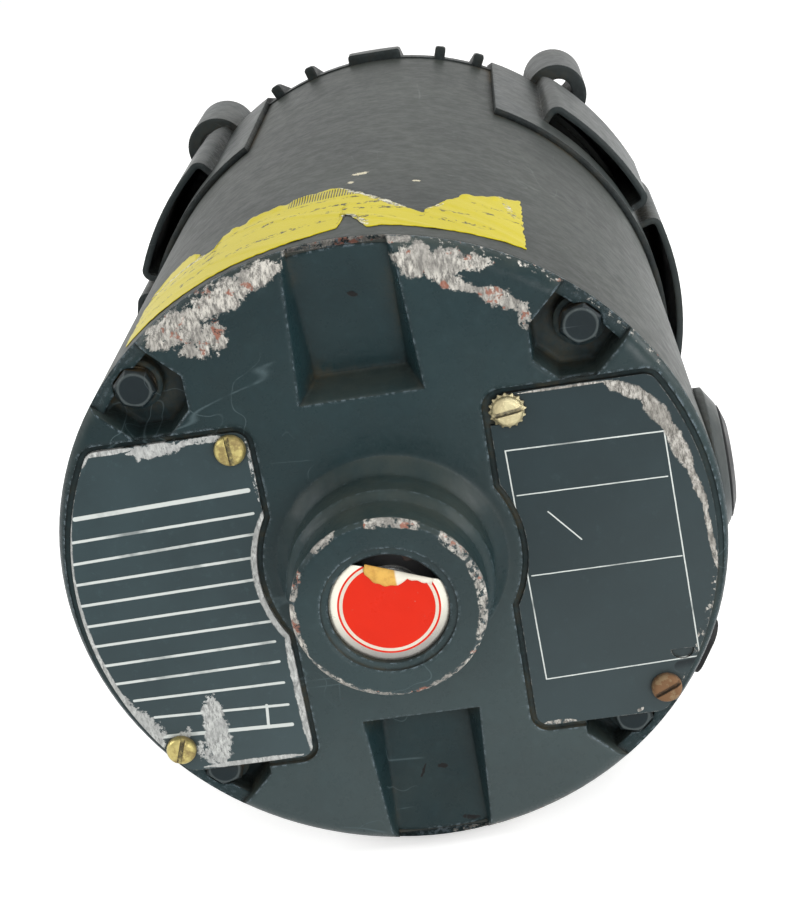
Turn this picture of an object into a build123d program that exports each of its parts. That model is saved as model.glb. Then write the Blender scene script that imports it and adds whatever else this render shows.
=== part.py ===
from build123d import *
import os
from math import cos, degrees, radians, sin

# Footless three-phase induction motor with a standard C-face.
# Millimetres. Y runs along the shaft: the C-face lies at Y = 0, the shaft points to +Y and the
# rear end shield faces -Y. Z is up and X is to the right as seen from the rear.
# A clock angle is counted clockwise from the top, as seen from the rear.

# Room between pieces that rest on each other, and how far a cutting form runs past a face
rest_gap = 0.02
slide_gap = 0.03
overcut = 1.0
bite = 0.3

# C-face and shaft extension of the standard 56C frame
tapped_circle_r = 74.61
tapped_hole_r = 3.97
register_r = 57.15
register_height = 4.0
face_limit_r = 82.55
shaft_r = 7.938
shaft_reach = 52.3
shaft_seat_r = 8.2
shaft_seat_end = 4.0
shaft_bevel = 1.0
key_width = 4.76
key_length = 35.8
key_floor = 5.19
key_end_gap = 0.3
key_seam_clock = 180.0
centre_hole_r = 2.4
centre_drill_r = 1.0
centre_hole_depth = 2.6
centre_drill_depth = 3.2

# Rolled shell
shell_r = 71.12
shell_wall = 1.6
shell_length = 187.0
seat_gap = 0.05

# Drive end shield
flange_reach = 29.0
skin_gap = 0.15
skin = 1.6
drive_wall = 4.2
face_wall = 9.0
spigot_depth = 7.0
spigot_wall = 3.0
face_ring_r = 65.5
face_side_r = 67.0
flange_lip = 0.25
flange_flat = 3.0
skirt_front = 12.0
skirt_flat = 24.0
skirt_front_r = 69.5
register_rim = 6.5
dish_depth = 3.0
drive_hub_r = 27.5
drive_hub_rise = 1.0
shaft_hole_gap = 0.4
ear_r = 9.1
ear_length = 26.0
ear_clock = 45.0
skirt_length = 59.0
skirt_half_gap = 28.0
mouth_back = 46.0
hood_r = 78.4
hood_wall = 1.8
hood_flat = 24.0
hood_nose = 12.0
hood_edges = ((39.5, 68.5), (71.5, 108.5), (111.5, 140.5))
hood_round = 3.0
hood_nose_drop = 1.3
hood_nose_share = 0.55
seam_clock = 10.0
rib_height = 3.35
rib_foot = 6.0
rib_width = 3.0
rib_clocks = (-24.5, -15.5, 15.5, 24.5)
pad_width = 15.5
pad_height = 2.2
rib_end = 7.0
rib_round = 0.9
flange_bevel = 5.0
drive_hub_slope = 2.0
inner_bevel = 3.0
spigot_blend = 5.0
window_r = 44.0
window_width = 7.0
window_sweep = 27.0
window_spoke = 8.0
port_inset = 2.0
port_start = 3.0
port_length = 32.0

# Rear end shield
rear_band = 2.6
rear_wall = 3.2
rear_seam_clock = 27.0
rim_shoulder = 3.8
rim_drop = 2.2
rim_bulge = 0.35
rear_spigot_depth = 8.0
hub_height = 21.5
hub_front_r = 20.0
hub_step_r = 21.6
hub_step_height = 10.5
hub_step_slope = 1.6
hub_foot = 3.0
hub_chamfer = 0.8
hub_bore_r = 12.35
hub_bevel_r = 13.9
hub_bevel_depth = 0.6
hub_ledge_r = 11.6
hub_lip = 4.0
hub_inside_r = 21.8
hub_inside = 8.0
disc_thickness = 0.5
disc_sunk = 1.5
disc_gap = 0.1
torn_distance = 7.7
torn_clock = 21.6

# Pockets in the rear face
pocket_depth = 8.0
pocket_wall = 2.6
pocket_foot_z = 37.8
pocket_foot_half = 13.0
pocket_rim_half = 10.6
pocket_side_draft = 0.42
pocket_floor_fall = 0.19
pocket_run = 9.0
corner_side = 35.5
corner_mid = 40.5
corner_rim = 48.0
corner_flare = 12.0
corner_draft = 0.1
low_corner_top = 41.0
corner_lip_wall = 1.6
corner_lip_half = 10.0
washer_room = 0.3

# Through bolts
bolt_circle_r = 65.1
bolt_r = 2.41
bolt_gap = 0.2
thread_gap = 0.03
bolt_head_flats = 7.94
bolt_head_height = 2.5
bolt_head_bevel = 0.6
bolt_head_sunk = 1.35
bolt_grip = 16.0
washer_r = 4.3
washer_thickness = 0.8
bolt_seat_r = 5.4
bolt_neck = 0.5

# Plates on the rear face
plate_thickness = 0.95
plate_sunk = 0.2
plate_gap = 1.3
plate_outer_r = 68.6
plate_drop = 1.4
plate_inner_x = 25.0
plate_hub_r = 28.8
plate_top = 34.2
plate_bottom = 44.8
plate_round = 3.0
plate_notch_x = 28.4
plate_notch_z = 27.6
plate_notch_size = 9.0
plate_screw_top = (28.9, 30.6)
plate_screw_bottom = (54.0, -38.7)
screw_head_r = 3.3
screw_head_height = 2.0
screw_slot = 1.0
screw_slot_depth = 0.9
nameplate_slots = (92.0, 70.0)
cover_slots = (8.0, 25.0)
screw_r = 1.75
screw_reach = 5.0
screw_boss_r = 4.0
screw_boss_start = 1.6
screw_dome = 0.6
cutout_left = 35.5
cutout_right = 56.0
cutout_top = 24.5
cutout_bottom = -28.0
cutout_round = 3.0
dimple_x = 58.4
dimple_z = -30.0
dimple_r = 2.5
dimple_sunk = 0.5

# Conduit entry at the right side, grommet and sticker
conduit_back = 28.0
conduit_hole_r = 11.1
conduit_boss_r = 17.0
conduit_rim_r = 13.2
conduit_rise = 2.5
conduit_sunk = 3.5
conduit_bevel = 2.6
plug_flange_r = 12.5
plug_dome = 1.6
plug_slope = 3.0
plug_edge = 0.5
plug_wall = 1.2
plug_depth = 5.0
fit_gap = 0.1
grommet_clock = 119.0
grommet_back = 9.5
grommet_length = 10.0
grommet_width = 5.0
grommet_lip = 1.5
grommet_rise = 2.2
grommet_inside = 1.2
grommet_room = 1.4
grommet_cut = 8.0
sticker_thickness = 0.12
sticker_back = 9.5
sticker_reach = 50.0
sticker_edge = ((-42, 54.0), (-20, 54.0), (-9, 49.0), (-3, 42.0), (4, 37.5), (14, 35.5), (23, 38.0), (32, 47.0))

# Stator
stack_length = 57.0
stack_back = 75.0
core_gap = 0.08
bore_r = 37.0
slot_count = 24
slot_mouth = 2.4
slot_tip = 1.2
slot_shoulder_r = 39.6
slot_floor_r = 53.0
slot_foot_width = 4.4
slot_floor_width = 7.8
notch_gap = 0.6
liner = 0.35
wedge_height = 1.0
end_turn_length = 21.0
end_turn_inner_r = 40.6
end_turn_outer_r = 60.0
end_turn_round = 6.0
end_turn_step = 1.6
end_turn_foot = 1.4
end_turn_slope = 2.0
notch_depth = 8.0
wedge_gap = 0.1

# Rotor
air_gap = 0.4
core_seat_r = 11.5
bar_count = 28
bar_outer_r = 35.4
bar_inner_r = 26.6
bar_outer_width = 3.6
bar_inner_width = 2.6
bar_gap = 0.03
ring_thickness = 7.0
ring_inner_r = 25.0
blade_count = 7
blade_height = 11.0
blade_thickness = 2.2
blade_draft_r = 26.5
blade_tip_gap = 0.6
blade_bite = 0.5
ring_step = 0.2

# Ball bearings: bore radius, outer radius, width, ball radius, pitch radius
rear_bearing_size = (7.5, 17.5, 11.0, 2.98, 12.5)
front_bearing_size = (8.5, 20.0, 12.0, 3.37, 14.25)
ball_count = 8
ball_gap = 0.05
race_land = 0.36
race_gap = 0.02
bearing_shield = 0.4
bearing_shield_sunk = 0.4
cage_thickness = 1.2
cage_pocket_gap = 0.1
cage_margin = 0.8
race_edge = 0.5
shield_gap = 0.45
spring_height = 1.5
spring_thickness = 0.4
spring_inner_r = 13.4
spring_edge = 0.3
spring_side_gap = 0.1
front_bearing_back = 16.0
race_shoulder_r = 15.5
slinger_room = 3.5
retainer_thickness = 2.0
retainer_inner_r = 13.2
retainer_screw_r = 24.0
retainer_screw_count = 3
retainer_gap = 0.3
retainer_slot_turn = 20.0
snap_ring_width = 1.1
snap_ring_wall = 2.0
snap_groove_depth = 0.5
snap_side_gap = 0.1
snap_land = 1.3
snap_opening = 4.0
slinger_thickness = 2.4
slinger_r = 14.0
slinger_gap = 0.4
slinger_lip = 0.9
slinger_body = 3.0
journal_shoulder = 2.4
journal_bevel = 0.8
core_seat_rear = 8.0
core_seat_front = 3.0
shaft_end_gap = 0.3

# Wiring compartment
board_thickness = 3.0
board_centre = 45.0
board_half_width = 11.5
board_top = 31.0
board_bottom = -34.0
board_depth = 12.0
board_slot = 0.8
board_slot_turn = 30.0
post_r = 2.9
post_xs = (38.0, 52.0)
post_zs = (27.8, -31.0)
board_screw_r = 1.4
board_screw_head_r = 2.5
board_screw_head = 1.6
board_screw_reach = 6.0
stud_pitch = 7.0
row_pitch = 14.0
stud_r = 1.75
stud_reach = 8.0
stud_head_r = 2.4
stud_head = 1.5
nut_flats = 6.2
nut_height = 2.4
lead_r = 1.1
lead_ends = (45.0, 48.5, 54.0)
lead_run = 11.0
lead_bend_r = 10.0
lead_gap = 0.05
ground_tab_width = 9.0
ground_tab_top = -20.0
ground_tab_thickness = 3.0
ground_z = -24.5
ground_head_r = 2.9
ground_head = 1.4
ground_reach = 3.2
ground_sunk = 0.42
ground_tab_room = 3.0

# Stations along the shaft, worked out from the sizes above
shell_front = -flange_reach
shell_rear = shell_front - shell_length
rear_face = shell_rear - rear_band
hub_front = rear_face - hub_height
shell_bore_r = shell_r - shell_wall
spigot_r = shell_bore_r - seat_gap
skirt_bore_r = shell_r + skin_gap
skirt_r = skirt_bore_r + skin
flange_r = skirt_bore_r + flange_lip
mouth_station = shell_front - mouth_back
stack_rear = rear_face + stack_back
stack_front = stack_rear + stack_length
rotor_r = bore_r - air_gap
front_bearing_rear = -front_bearing_back - front_bearing_size[2]
hub_shoulder = hub_front + hub_lip
rear_bearing_rear = hub_shoulder + spring_height
rear_bearing_front = rear_bearing_rear + rear_bearing_size[2]
conduit_station = rear_face + conduit_back
ear_centre_r = face_limit_r - ear_r
corner_clocks = [ear_clock + 90 * n for n in range(4)]
pocket_rim = shell_r + pocket_run
retainer_clocks = [360 * n / retainer_screw_count for n in range(retainer_screw_count)]


def across(station):
    """Plane square to the shaft, seen from the rear: x to the right, z up, extruding rearward."""
    return Plane.XZ.offset(-station)


def at_clock(radius, clock):
    """Point of that plane at a radius and a clock angle."""
    return (radius * sin(radians(clock)), radius * cos(radians(clock)))


def lathe(clock):
    """Plane through the shaft for turned profiles: x is the radius at a clock angle, y the station."""
    return Plane(
        origin=(0, 0, 0),
        x_dir=(sin(radians(clock)), 0, cos(radians(clock))),
        z_dir=(-cos(radians(clock)), 0, sin(radians(clock))),
    )


def sector(inner, outer, start, end, corner=0.0):
    """Flat ring segment between two clock angles, with its outer corners rounded."""
    with BuildSketch() as piece:
        with BuildLine():
            outer_arc = CenterArc((0, 0), outer, 90 - end, end - start)
            inner_arc = CenterArc((0, 0), inner, 90 - end, end - start)
            Line(outer_arc @ 0, inner_arc @ 0)
            Line(outer_arc @ 1, inner_arc @ 1)
        make_face()
        if corner > 0:
            far = [v for v in piece.vertices() if Vector(v.X, v.Y).length > (inner + outer) / 2]
            fillet(far, corner)
    return piece.sketch


def hood_form(grow, start_station, length, low_r, inset):
    """The six vent hoods as one form, larger than their inside by grow."""
    top_r = hood_r - hood_wall + grow
    with BuildPart() as form:
        with BuildSketch(across(start_station + length)):
            for side in (1, -1):
                for low, high in hood_edges:
                    first, last = (low, high) if side > 0 else (-high, -low)
                    add(sector(low_r, top_r, first + inset, last - inset, hood_round - hood_wall + grow))
        extrude(amount=length)
        with BuildSketch(lathe(seam_clock)):
            with BuildLine():
                flat_end = mouth_station + hood_flat
                nose = shell_front + hood_nose - hood_wall + grow
                Polyline((0, start_station), (top_r, start_station), (top_r, flat_end))
                bend = flat_end + (nose - flat_end) * hood_nose_share
                ThreePointArc((top_r, flat_end), (top_r - hood_nose_drop, bend), (skirt_bore_r - overcut, nose))
                Polyline((skirt_bore_r - overcut, nose), (0, nose), (0, start_station))
            make_face()
        revolve(axis=Axis.Y, mode=Mode.INTERSECT)
    return form.part


# Shell: rolled tube with six air ports under the hoods, the conduit hole and the grommet slot
with BuildPart() as shell:
    with BuildSketch(across(shell_front - seat_gap)):
        Circle(shell_r)
        Circle(shell_bore_r, mode=Mode.SUBTRACT)
    extrude(amount=shell_length - 2 * seat_gap)
    with BuildSketch(across(mouth_station + port_start + port_length)):
        for side in (1, -1):
            for low, high in hood_edges:
                first, last = (low, high) if side > 0 else (-high, -low)
                add(sector(shell_bore_r - overcut, shell_r + overcut, first + port_inset, last - port_inset))
    extrude(amount=port_length, mode=Mode.SUBTRACT)
    with BuildSketch(Plane.YZ):
        with Locations((conduit_station, 0)):
            Circle(conduit_hole_r)
    extrude(amount=shell_r + overcut, mode=Mode.SUBTRACT)
    with BuildSketch(Plane(origin=(0, rear_face + grommet_back, 0), x_dir=(0, 1, 0),
                           z_dir=(sin(radians(grommet_clock)), 0, cos(radians(grommet_clock))))):
        SlotOverall(grommet_length, grommet_width, rotation=90)
    extrude(amount=shell_r + overcut, mode=Mode.SUBTRACT)
shell.part.label = "shell"
export_step(shell.part, "parts/shell.step")

# Drive end shield: wall, C-face, register and bearing housing turned about the shaft, with skirts and ribs
side_wall_angle = degrees(hood_wall / hood_r)
hood_solid = hood_form(hood_wall, mouth_station, flange_reach + mouth_back, skirt_bore_r + skin / 2, 0.0)
hood_hollow = hood_form(0.0, mouth_station - overcut, mouth_back - overcut, shell_r - bite, side_wall_angle)
with BuildPart() as ribs:
    with BuildSketch(across(-rib_end)):
        for turn in (0, 180):
            for clock in rib_clocks:
                with Locations(Location(at_clock(flange_r + rib_height / 2 - rib_foot / 2, clock + turn), -clock)):
                    RectangleRounded(rib_width, rib_height + rib_foot, rib_round)
            with Locations(at_clock(flange_r + pad_height / 2 - rib_foot / 2, turn)):
                RectangleRounded(pad_width, pad_height + rib_foot, rib_round)
    extrude(amount=flange_reach - rib_end)
    # Their tops fall towards the face
    with BuildSketch(lathe(seam_clock)):
        Polygon(
            (0, shell_front),
            (flange_r + rib_height, shell_front),
            (flange_r + rib_height, shell_front + flange_flat / 2),
            (face_side_r, -rib_end),
            (0, -rib_end),
            align=None,
        )
    revolve(axis=Axis.Y, mode=Mode.INTERSECT)
with BuildPart() as skirts:
    with BuildSketch(across(-skirt_front)):
        add(sector(face_side_r, skirt_r, skirt_half_gap, 180 - skirt_half_gap))
        add(sector(face_side_r, skirt_r, 180 + skirt_half_gap, 360 - skirt_half_gap))
    extrude(amount=flange_reach + skirt_length - skirt_front)
    with BuildSketch(lathe(seam_clock)):
        Polygon(
            (skirt_bore_r, shell_front - skirt_length),
            (skirt_r, shell_front - skirt_length),
            (skirt_r, -skirt_flat),
            (skirt_front_r, -skirt_front),
            (face_side_r, -skirt_front),
            (flange_r - drive_wall / 2, shell_front),
            (skirt_bore_r, shell_front),
            align=None,
        )
    revolve(axis=Axis.Y, mode=Mode.INTERSECT)
with BuildPart() as drive_end_shield:
    with BuildSketch(lathe(seam_clock)):
        with BuildLine():
            Polyline(
                (flange_r, shell_front),
                (flange_r, shell_front + flange_flat),
                (face_side_r, -flange_bevel),
                (face_ring_r, 0),
                (register_r, 0),
                (register_r, register_height),
                (register_r - register_rim, register_height),
                (register_r - register_rim, -dish_depth),
                (drive_hub_r - drive_hub_slope, -dish_depth),
                (drive_hub_r - drive_hub_slope - drive_hub_rise, drive_hub_rise),
                (shaft_seat_r + shaft_hole_gap, drive_hub_rise),
                (shaft_seat_r + shaft_hole_gap, -front_bearing_back + slinger_room),
                (race_shoulder_r, -front_bearing_back + slinger_room),
                (race_shoulder_r, -front_bearing_back),
                (front_bearing_size[1] + race_gap, -front_bearing_back),
                (front_bearing_size[1] + race_gap, front_bearing_rear),
                (drive_hub_r, front_bearing_rear),
                (drive_hub_r, -face_wall),
                (face_side_r - drive_wall - inner_bevel, -face_wall),
                (face_side_r - drive_wall, -face_wall - inner_bevel),
                (flange_r - drive_wall, shell_front + spigot_blend),
                (spigot_r - spigot_wall, shell_front),
                (spigot_r - spigot_wall, shell_front - spigot_depth),
                (spigot_r, shell_front - spigot_depth),
                (spigot_r, shell_front),
                close=True,
            )
        make_face()
    revolve(axis=Axis.Y)
    # Skirts that lap over the shell on both sides, and the vent hoods on them
    add(skirts.part)
    add(hood_solid)
    add(ribs.part)
    # Ears with the bosses that the through bolts screw into
    with BuildSketch(across(0)):
        with Locations(*[at_clock(ear_centre_r, c) for c in corner_clocks]):
            Circle(ear_r)
    extrude(amount=ear_length)
    with BuildSketch(across(-face_wall)):
        with Locations(*[at_clock(bolt_circle_r, c) for c in corner_clocks]):
            Circle(bolt_seat_r)
        Circle(spigot_r, mode=Mode.INTERSECT)
    extrude(amount=flange_reach + spigot_depth - face_wall)
    # Hollows of the hoods, air windows, tapped holes and bolt holes
    add(hood_hollow, mode=Mode.SUBTRACT)
    with BuildSketch(across(overcut)):
        for ear in corner_clocks:
            for side in (1, -1):
                middle = ear + side * (ear_clock - window_spoke / 2 - window_sweep / 2)
                add(sector(window_r - window_width / 2, window_r + window_width / 2,
                           middle - window_sweep / 2, middle + window_sweep / 2))
    extrude(amount=face_wall + 2 * overcut, mode=Mode.SUBTRACT)
    with BuildSketch(across(0)):
        with Locations(*[at_clock(tapped_circle_r, c) for c in corner_clocks]):
            Circle(tapped_hole_r)
    extrude(amount=ear_length, mode=Mode.SUBTRACT)
    with BuildSketch(across(shell_front - spigot_depth + bolt_grip)):
        with Locations(*[at_clock(bolt_circle_r, c) for c in corner_clocks]):
            Circle(bolt_r + thread_gap)
    extrude(amount=bolt_grip, mode=Mode.SUBTRACT)
    with BuildSketch(across(front_bearing_rear + board_screw_reach + overcut / 2)):
        with Locations(*[at_clock(retainer_screw_r, c) for c in retainer_clocks]):
            Circle(board_screw_r + thread_gap)
    extrude(amount=board_screw_reach + overcut, mode=Mode.SUBTRACT)
drive_end_shield.part.label = "drive_end_shield"
export_step(drive_end_shield.part, "parts/drive_end_shield.step")


def end_pocket(near, far, grow):
    """Pocket at the top of the rear face between two depths; grow adds wall all round."""
    with BuildPart() as pocket:
        for depth in (near, far):
            cut = pocket_side_draft * depth
            foot = pocket_foot_z + cut - grow
            with BuildSketch(across(rear_face + depth)):
                Polygon(
                    (cut - pocket_foot_half - grow, foot),
                    (pocket_foot_half + grow - cut, foot),
                    (pocket_rim_half + grow - cut, pocket_rim),
                    (cut - pocket_rim_half - grow, pocket_rim),
                    align=None,
                )
        loft()
        with BuildSketch(Plane.YZ):
            floor = rear_face + pocket_depth + grow
            corner_z = pocket_foot_z + pocket_side_draft * pocket_depth
            fall = pocket_floor_fall * (pocket_rim - corner_z)
            Polygon(
                (rear_face - 2 * overcut, hub_step_r),
                (floor, hub_step_r),
                (floor, corner_z),
                (floor - fall, pocket_rim),
                (rear_face - 2 * overcut, pocket_rim),
                align=None,
            )
        extrude(amount=2 * pocket_foot_half, both=True, mode=Mode.INTERSECT)
    return pocket.part


def corner_pocket(near, far, grow, top):
    """Pocket round a through bolt, seen in the upper right corner; the lower ones start further out."""
    start = corner_side if top else low_corner_top
    slant = start - corner_side
    with BuildPart() as pocket:
        for depth in (near, far):
            with BuildSketch(across(rear_face + depth)):
                with BuildLine():
                    corner = (corner_mid, corner_side)
                    Polyline(
                        (corner_side, corner_rim),
                        (corner_side, max(corner_mid, start)),
                        corner if top else (corner_side + overcut, start),
                        (corner_rim + slant, start),
                        (corner_rim + corner_flare, corner_side + corner_flare),
                        (corner_side + corner_flare, corner_rim + corner_flare),
                        close=True,
                    )
                make_face()
                offset(amount=grow - corner_draft * depth, kind=Kind.INTERSECTION)
        loft()
    return pocket.part


def plate_outline(grow, side):
    """Bean-shaped outline of the plates, grown all round; side is 1 on the right, -1 on the left."""
    with BuildSketch() as outline:
        with Locations((0, -plate_drop)):
            Circle(plate_outer_r + grow)
        width = shell_r - plate_inner_x + grow
        height = plate_top + plate_bottom + 2 * grow
        with Locations((side * (plate_inner_x - grow + width / 2), (plate_top - plate_bottom) / 2)):
            Rectangle(width, height, mode=Mode.INTERSECT)
        Circle(plate_hub_r - grow, mode=Mode.SUBTRACT)
        middle = (plate_top - plate_bottom) / 2
        corners = [v for v in outline.vertices() if abs(abs(v.Y - middle) - height / 2) < rest_gap]
        fillet(corners, plate_round + grow)
    return outline.sketch


def pockets(near, far, grow):
    """The top and bottom pockets and the four corner pockets of the rear face."""
    end = end_pocket(near, far, grow)
    with BuildPart() as group:
        add(end)
        add(mirror(end, about=Plane.XY))
        for top in (True, False):
            corner = corner_pocket(near, far, grow, top)
            if not top:
                corner = mirror(corner, about=Plane.XY)
            add(corner)
            add(mirror(corner, about=Plane.YZ))
    return group.part


# Rear end shield: wall, rim, spigot and hub turned about the shaft, then pockets and recesses
grown_floor = pocket_depth + pocket_wall
bolt_seat = bolt_head_sunk + bolt_head_height + washer_thickness
screw_points = [(side * x, z) for side in (1, -1) for x, z in (plate_screw_top, plate_screw_bottom)]
with BuildPart() as rear_end_shield:
    with BuildSketch(lathe(rear_seam_clock)):
        with BuildLine():
            rear_race_r = rear_bearing_size[1] + race_gap
            ledge_station = hub_front + disc_sunk + disc_thickness
            Polyline(
                (shell_r, rear_face + rim_drop),
                (shell_r, shell_rear),
                (spigot_r, shell_rear),
                (spigot_r, shell_rear + rear_spigot_depth),
                (spigot_r - spigot_wall, shell_rear + rear_spigot_depth),
                (spigot_r - spigot_wall, rear_face + rear_wall),
                (hub_inside_r, rear_face + rear_wall),
                (hub_inside_r, rear_face + hub_inside),
                (rear_race_r, rear_face + hub_inside),
                (rear_race_r, hub_shoulder),
                (hub_ledge_r, hub_shoulder),
                (hub_ledge_r, ledge_station),
                (hub_bore_r, ledge_station),
                (hub_bore_r, hub_front + hub_bevel_depth),
                (hub_bevel_r, hub_front + hub_bevel_depth),
                (hub_bevel_r, hub_front),
                (hub_front_r - hub_chamfer, hub_front),
                (hub_front_r, hub_front + hub_chamfer),
                (hub_front_r, rear_face - hub_step_height - hub_step_slope),
                (hub_step_r, rear_face - hub_step_height),
                (hub_step_r, rear_face - hub_foot),
                (hub_step_r + hub_foot, rear_face),
                (shell_r - rim_shoulder, rear_face),
            )
            ThreePointArc(
                (shell_r - rim_shoulder, rear_face),
                (shell_r - rim_bulge * rim_shoulder, rear_face + rim_bulge * rim_drop),
                (shell_r, rear_face + rim_drop),
            )
        make_face()
    revolve(axis=Axis.Y)
    # Walls behind the pockets, kept inside the shell
    with BuildPart(mode=Mode.PRIVATE) as pocket_walls:
        add(pockets(rear_wall - overcut, grown_floor, pocket_wall))
        with BuildSketch(across(rear_face + grown_floor)):
            Circle(spigot_r - seat_gap)
        extrude(amount=grown_floor, mode=Mode.INTERSECT)
    add(pocket_walls.part)
    # Bosses for the plate screws, posts for the terminal board and tab for the ground screw
    with BuildPart(mode=Mode.PRIVATE) as inner_bosses:
        with BuildSketch(across(rear_face + screw_reach + bolt_gap)):
            with Locations(*screw_points):
                Circle(screw_boss_r)
        extrude(amount=screw_reach + bolt_gap - screw_boss_start)
        with BuildSketch(across(rear_face + board_depth)):
            with Locations(*[(x, z) for x in post_xs for z in post_zs]):
                Circle(post_r)
        extrude(amount=board_depth - rear_wall + bolt_neck)
        with BuildSketch(across(rear_face + rear_wall + ground_tab_thickness)):
            with Locations((board_centre, (ground_tab_top + cutout_bottom - ground_tab_room) / 2)):
                Rectangle(ground_tab_width, ground_tab_top - cutout_bottom + ground_tab_room)
        extrude(amount=ground_tab_thickness + ground_sunk - rest_gap)
        with BuildSketch(across(rear_face + board_depth)):
            Circle(spigot_r - seat_gap)
        extrude(amount=board_depth + overcut, mode=Mode.INTERSECT)
    # Recesses for the plates and the opening behind the right one
    for side in (1, -1):
        with BuildSketch(across(rear_face + plate_sunk + plate_thickness)):
            add(plate_outline(plate_gap, side))
        extrude(amount=rim_drop + overcut, mode=Mode.SUBTRACT)
    with BuildSketch(across(rear_face + rear_wall + overcut)):
        with Locations(((cutout_left + cutout_right) / 2, (cutout_top + cutout_bottom) / 2)):
            RectangleRounded(cutout_right - cutout_left, cutout_top - cutout_bottom, cutout_round)
    extrude(amount=rear_wall + 2 * overcut, mode=Mode.SUBTRACT)
    add(inner_bosses.part)
    # Pockets, bolt seats, bolt holes, screw holes and the notch beside the grommet
    add(pockets(-overcut, pocket_depth, 0), mode=Mode.SUBTRACT)
    # The rim stays whole outside the corner pockets, with room for the washers
    with BuildPart(mode=Mode.PRIVATE) as corner_lips:
        for clock in corner_clocks:
            lip_ends = (clock - corner_lip_half, clock + corner_lip_half)
            with BuildSketch(across(shell_rear)):
                add(sector(spigot_r - corner_lip_wall, shell_r, *lip_ends))
            extrude(amount=rear_band - rim_drop)
            with BuildSketch(across(shell_rear + rear_spigot_depth)):
                add(sector(spigot_r - corner_lip_wall, spigot_r, *lip_ends))
            extrude(amount=rear_spigot_depth)
        with BuildSketch(across(rear_face + bolt_seat)):
            with Locations(*[at_clock(bolt_circle_r, c) for c in corner_clocks]):
                Circle(washer_r + washer_room)
            Circle(spigot_r, mode=Mode.INTERSECT)
        extrude(amount=bolt_seat + overcut, mode=Mode.SUBTRACT)
    add(corner_lips.part)
    with BuildPart(mode=Mode.PRIVATE) as bolt_seats:
        with BuildSketch(across(rear_face + pocket_depth + overcut)):
            with Locations(*[at_clock(bolt_circle_r, c) for c in corner_clocks]):
                Circle(bolt_seat_r)
            Circle(spigot_r - seat_gap, mode=Mode.INTERSECT)
        extrude(amount=pocket_depth + overcut - bolt_seat)
    add(bolt_seats.part)
    with BuildSketch(across(rear_face + grown_floor + overcut)):
        with Locations(*[at_clock(bolt_circle_r, c) for c in corner_clocks]):
            Circle(bolt_r + bolt_gap)
    extrude(amount=grown_floor, mode=Mode.SUBTRACT)
    with BuildSketch(across(rear_face + screw_reach + overcut)):
        with Locations(*screw_points):
            Circle(screw_r + thread_gap)
        with Locations((board_centre, ground_z)):
            Circle(screw_r + thread_gap)
    extrude(amount=screw_reach + 2 * overcut, mode=Mode.SUBTRACT)
    with BuildSketch(across(rear_face + board_depth + overcut)):
        with Locations(*[(x, z) for x in post_xs for z in post_zs]):
            Circle(board_screw_r + thread_gap)
    extrude(amount=board_screw_reach + overcut, mode=Mode.SUBTRACT)
    notch_half = degrees((grommet_length / 2 + grommet_room) / shell_r)
    notch_start = grommet_back - grommet_width / 2 - grommet_room
    notch_ends = (grommet_clock - notch_half, grommet_clock + notch_half)
    with BuildSketch(across(shell_rear + rear_spigot_depth + overcut)):
        add(sector(spigot_r - spigot_wall - overcut, spigot_r + overcut, *notch_ends))
    extrude(amount=rear_band + rear_spigot_depth + overcut - notch_start, mode=Mode.SUBTRACT)
rear_end_shield.part.label = "rear_end_shield"
export_step(rear_end_shield.part, "parts/rear_end_shield.step")

# Through bolts: hex heads in the rear pockets, screwed into the drive end shield
head_front = rear_face + bolt_head_sunk
head_back = head_front + bolt_head_height
bolt_end = shell_front - spigot_depth + bolt_grip - overcut
with BuildPart() as through_bolts:
    with BuildSketch(across(head_back)):
        for clock in corner_clocks:
            with Locations(Location((*at_clock(bolt_circle_r, clock), 0), 90 - clock)):
                RegularPolygon(bolt_head_flats / 2, 6, major_radius=False, rotation=30)
    extrude(amount=bolt_head_height)
    fronts = through_bolts.faces().sort_by(Axis.Y)[:len(corner_clocks)]
    chamfer([e for f in fronts for e in f.edges()], bolt_head_bevel)
    with BuildSketch(across(bolt_end)):
        with Locations(*[at_clock(bolt_circle_r, c) for c in corner_clocks]):
            Circle(bolt_r)
    extrude(amount=bolt_end - head_back + bolt_neck)
through_bolts.part.label = "through_bolts"
export_step(through_bolts.part, "parts/through_bolts.step")

# Washers under the through bolts
with BuildPart() as through_bolt_washers:
    with BuildSketch(across(head_back + washer_thickness - rest_gap)):
        with Locations(*[at_clock(bolt_circle_r, c) for c in corner_clocks]):
            Circle(washer_r)
            Circle(bolt_r + bolt_gap, mode=Mode.SUBTRACT)
    extrude(amount=washer_thickness - 2 * rest_gap)
through_bolt_washers.part.label = "through_bolt_washers"
export_step(through_bolt_washers.part, "parts/through_bolt_washers.step")

# Nameplate on the left
plate_back = rear_face + plate_sunk + plate_thickness - rest_gap
with BuildPart() as nameplate:
    with BuildSketch(across(plate_back)):
        add(plate_outline(0, -1))
        with Locations(*screw_points[2:]):
            Circle(screw_r + bolt_gap, mode=Mode.SUBTRACT)
    extrude(amount=plate_thickness)
nameplate.part.label = "nameplate"
export_step(nameplate.part, "parts/nameplate.step")

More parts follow.
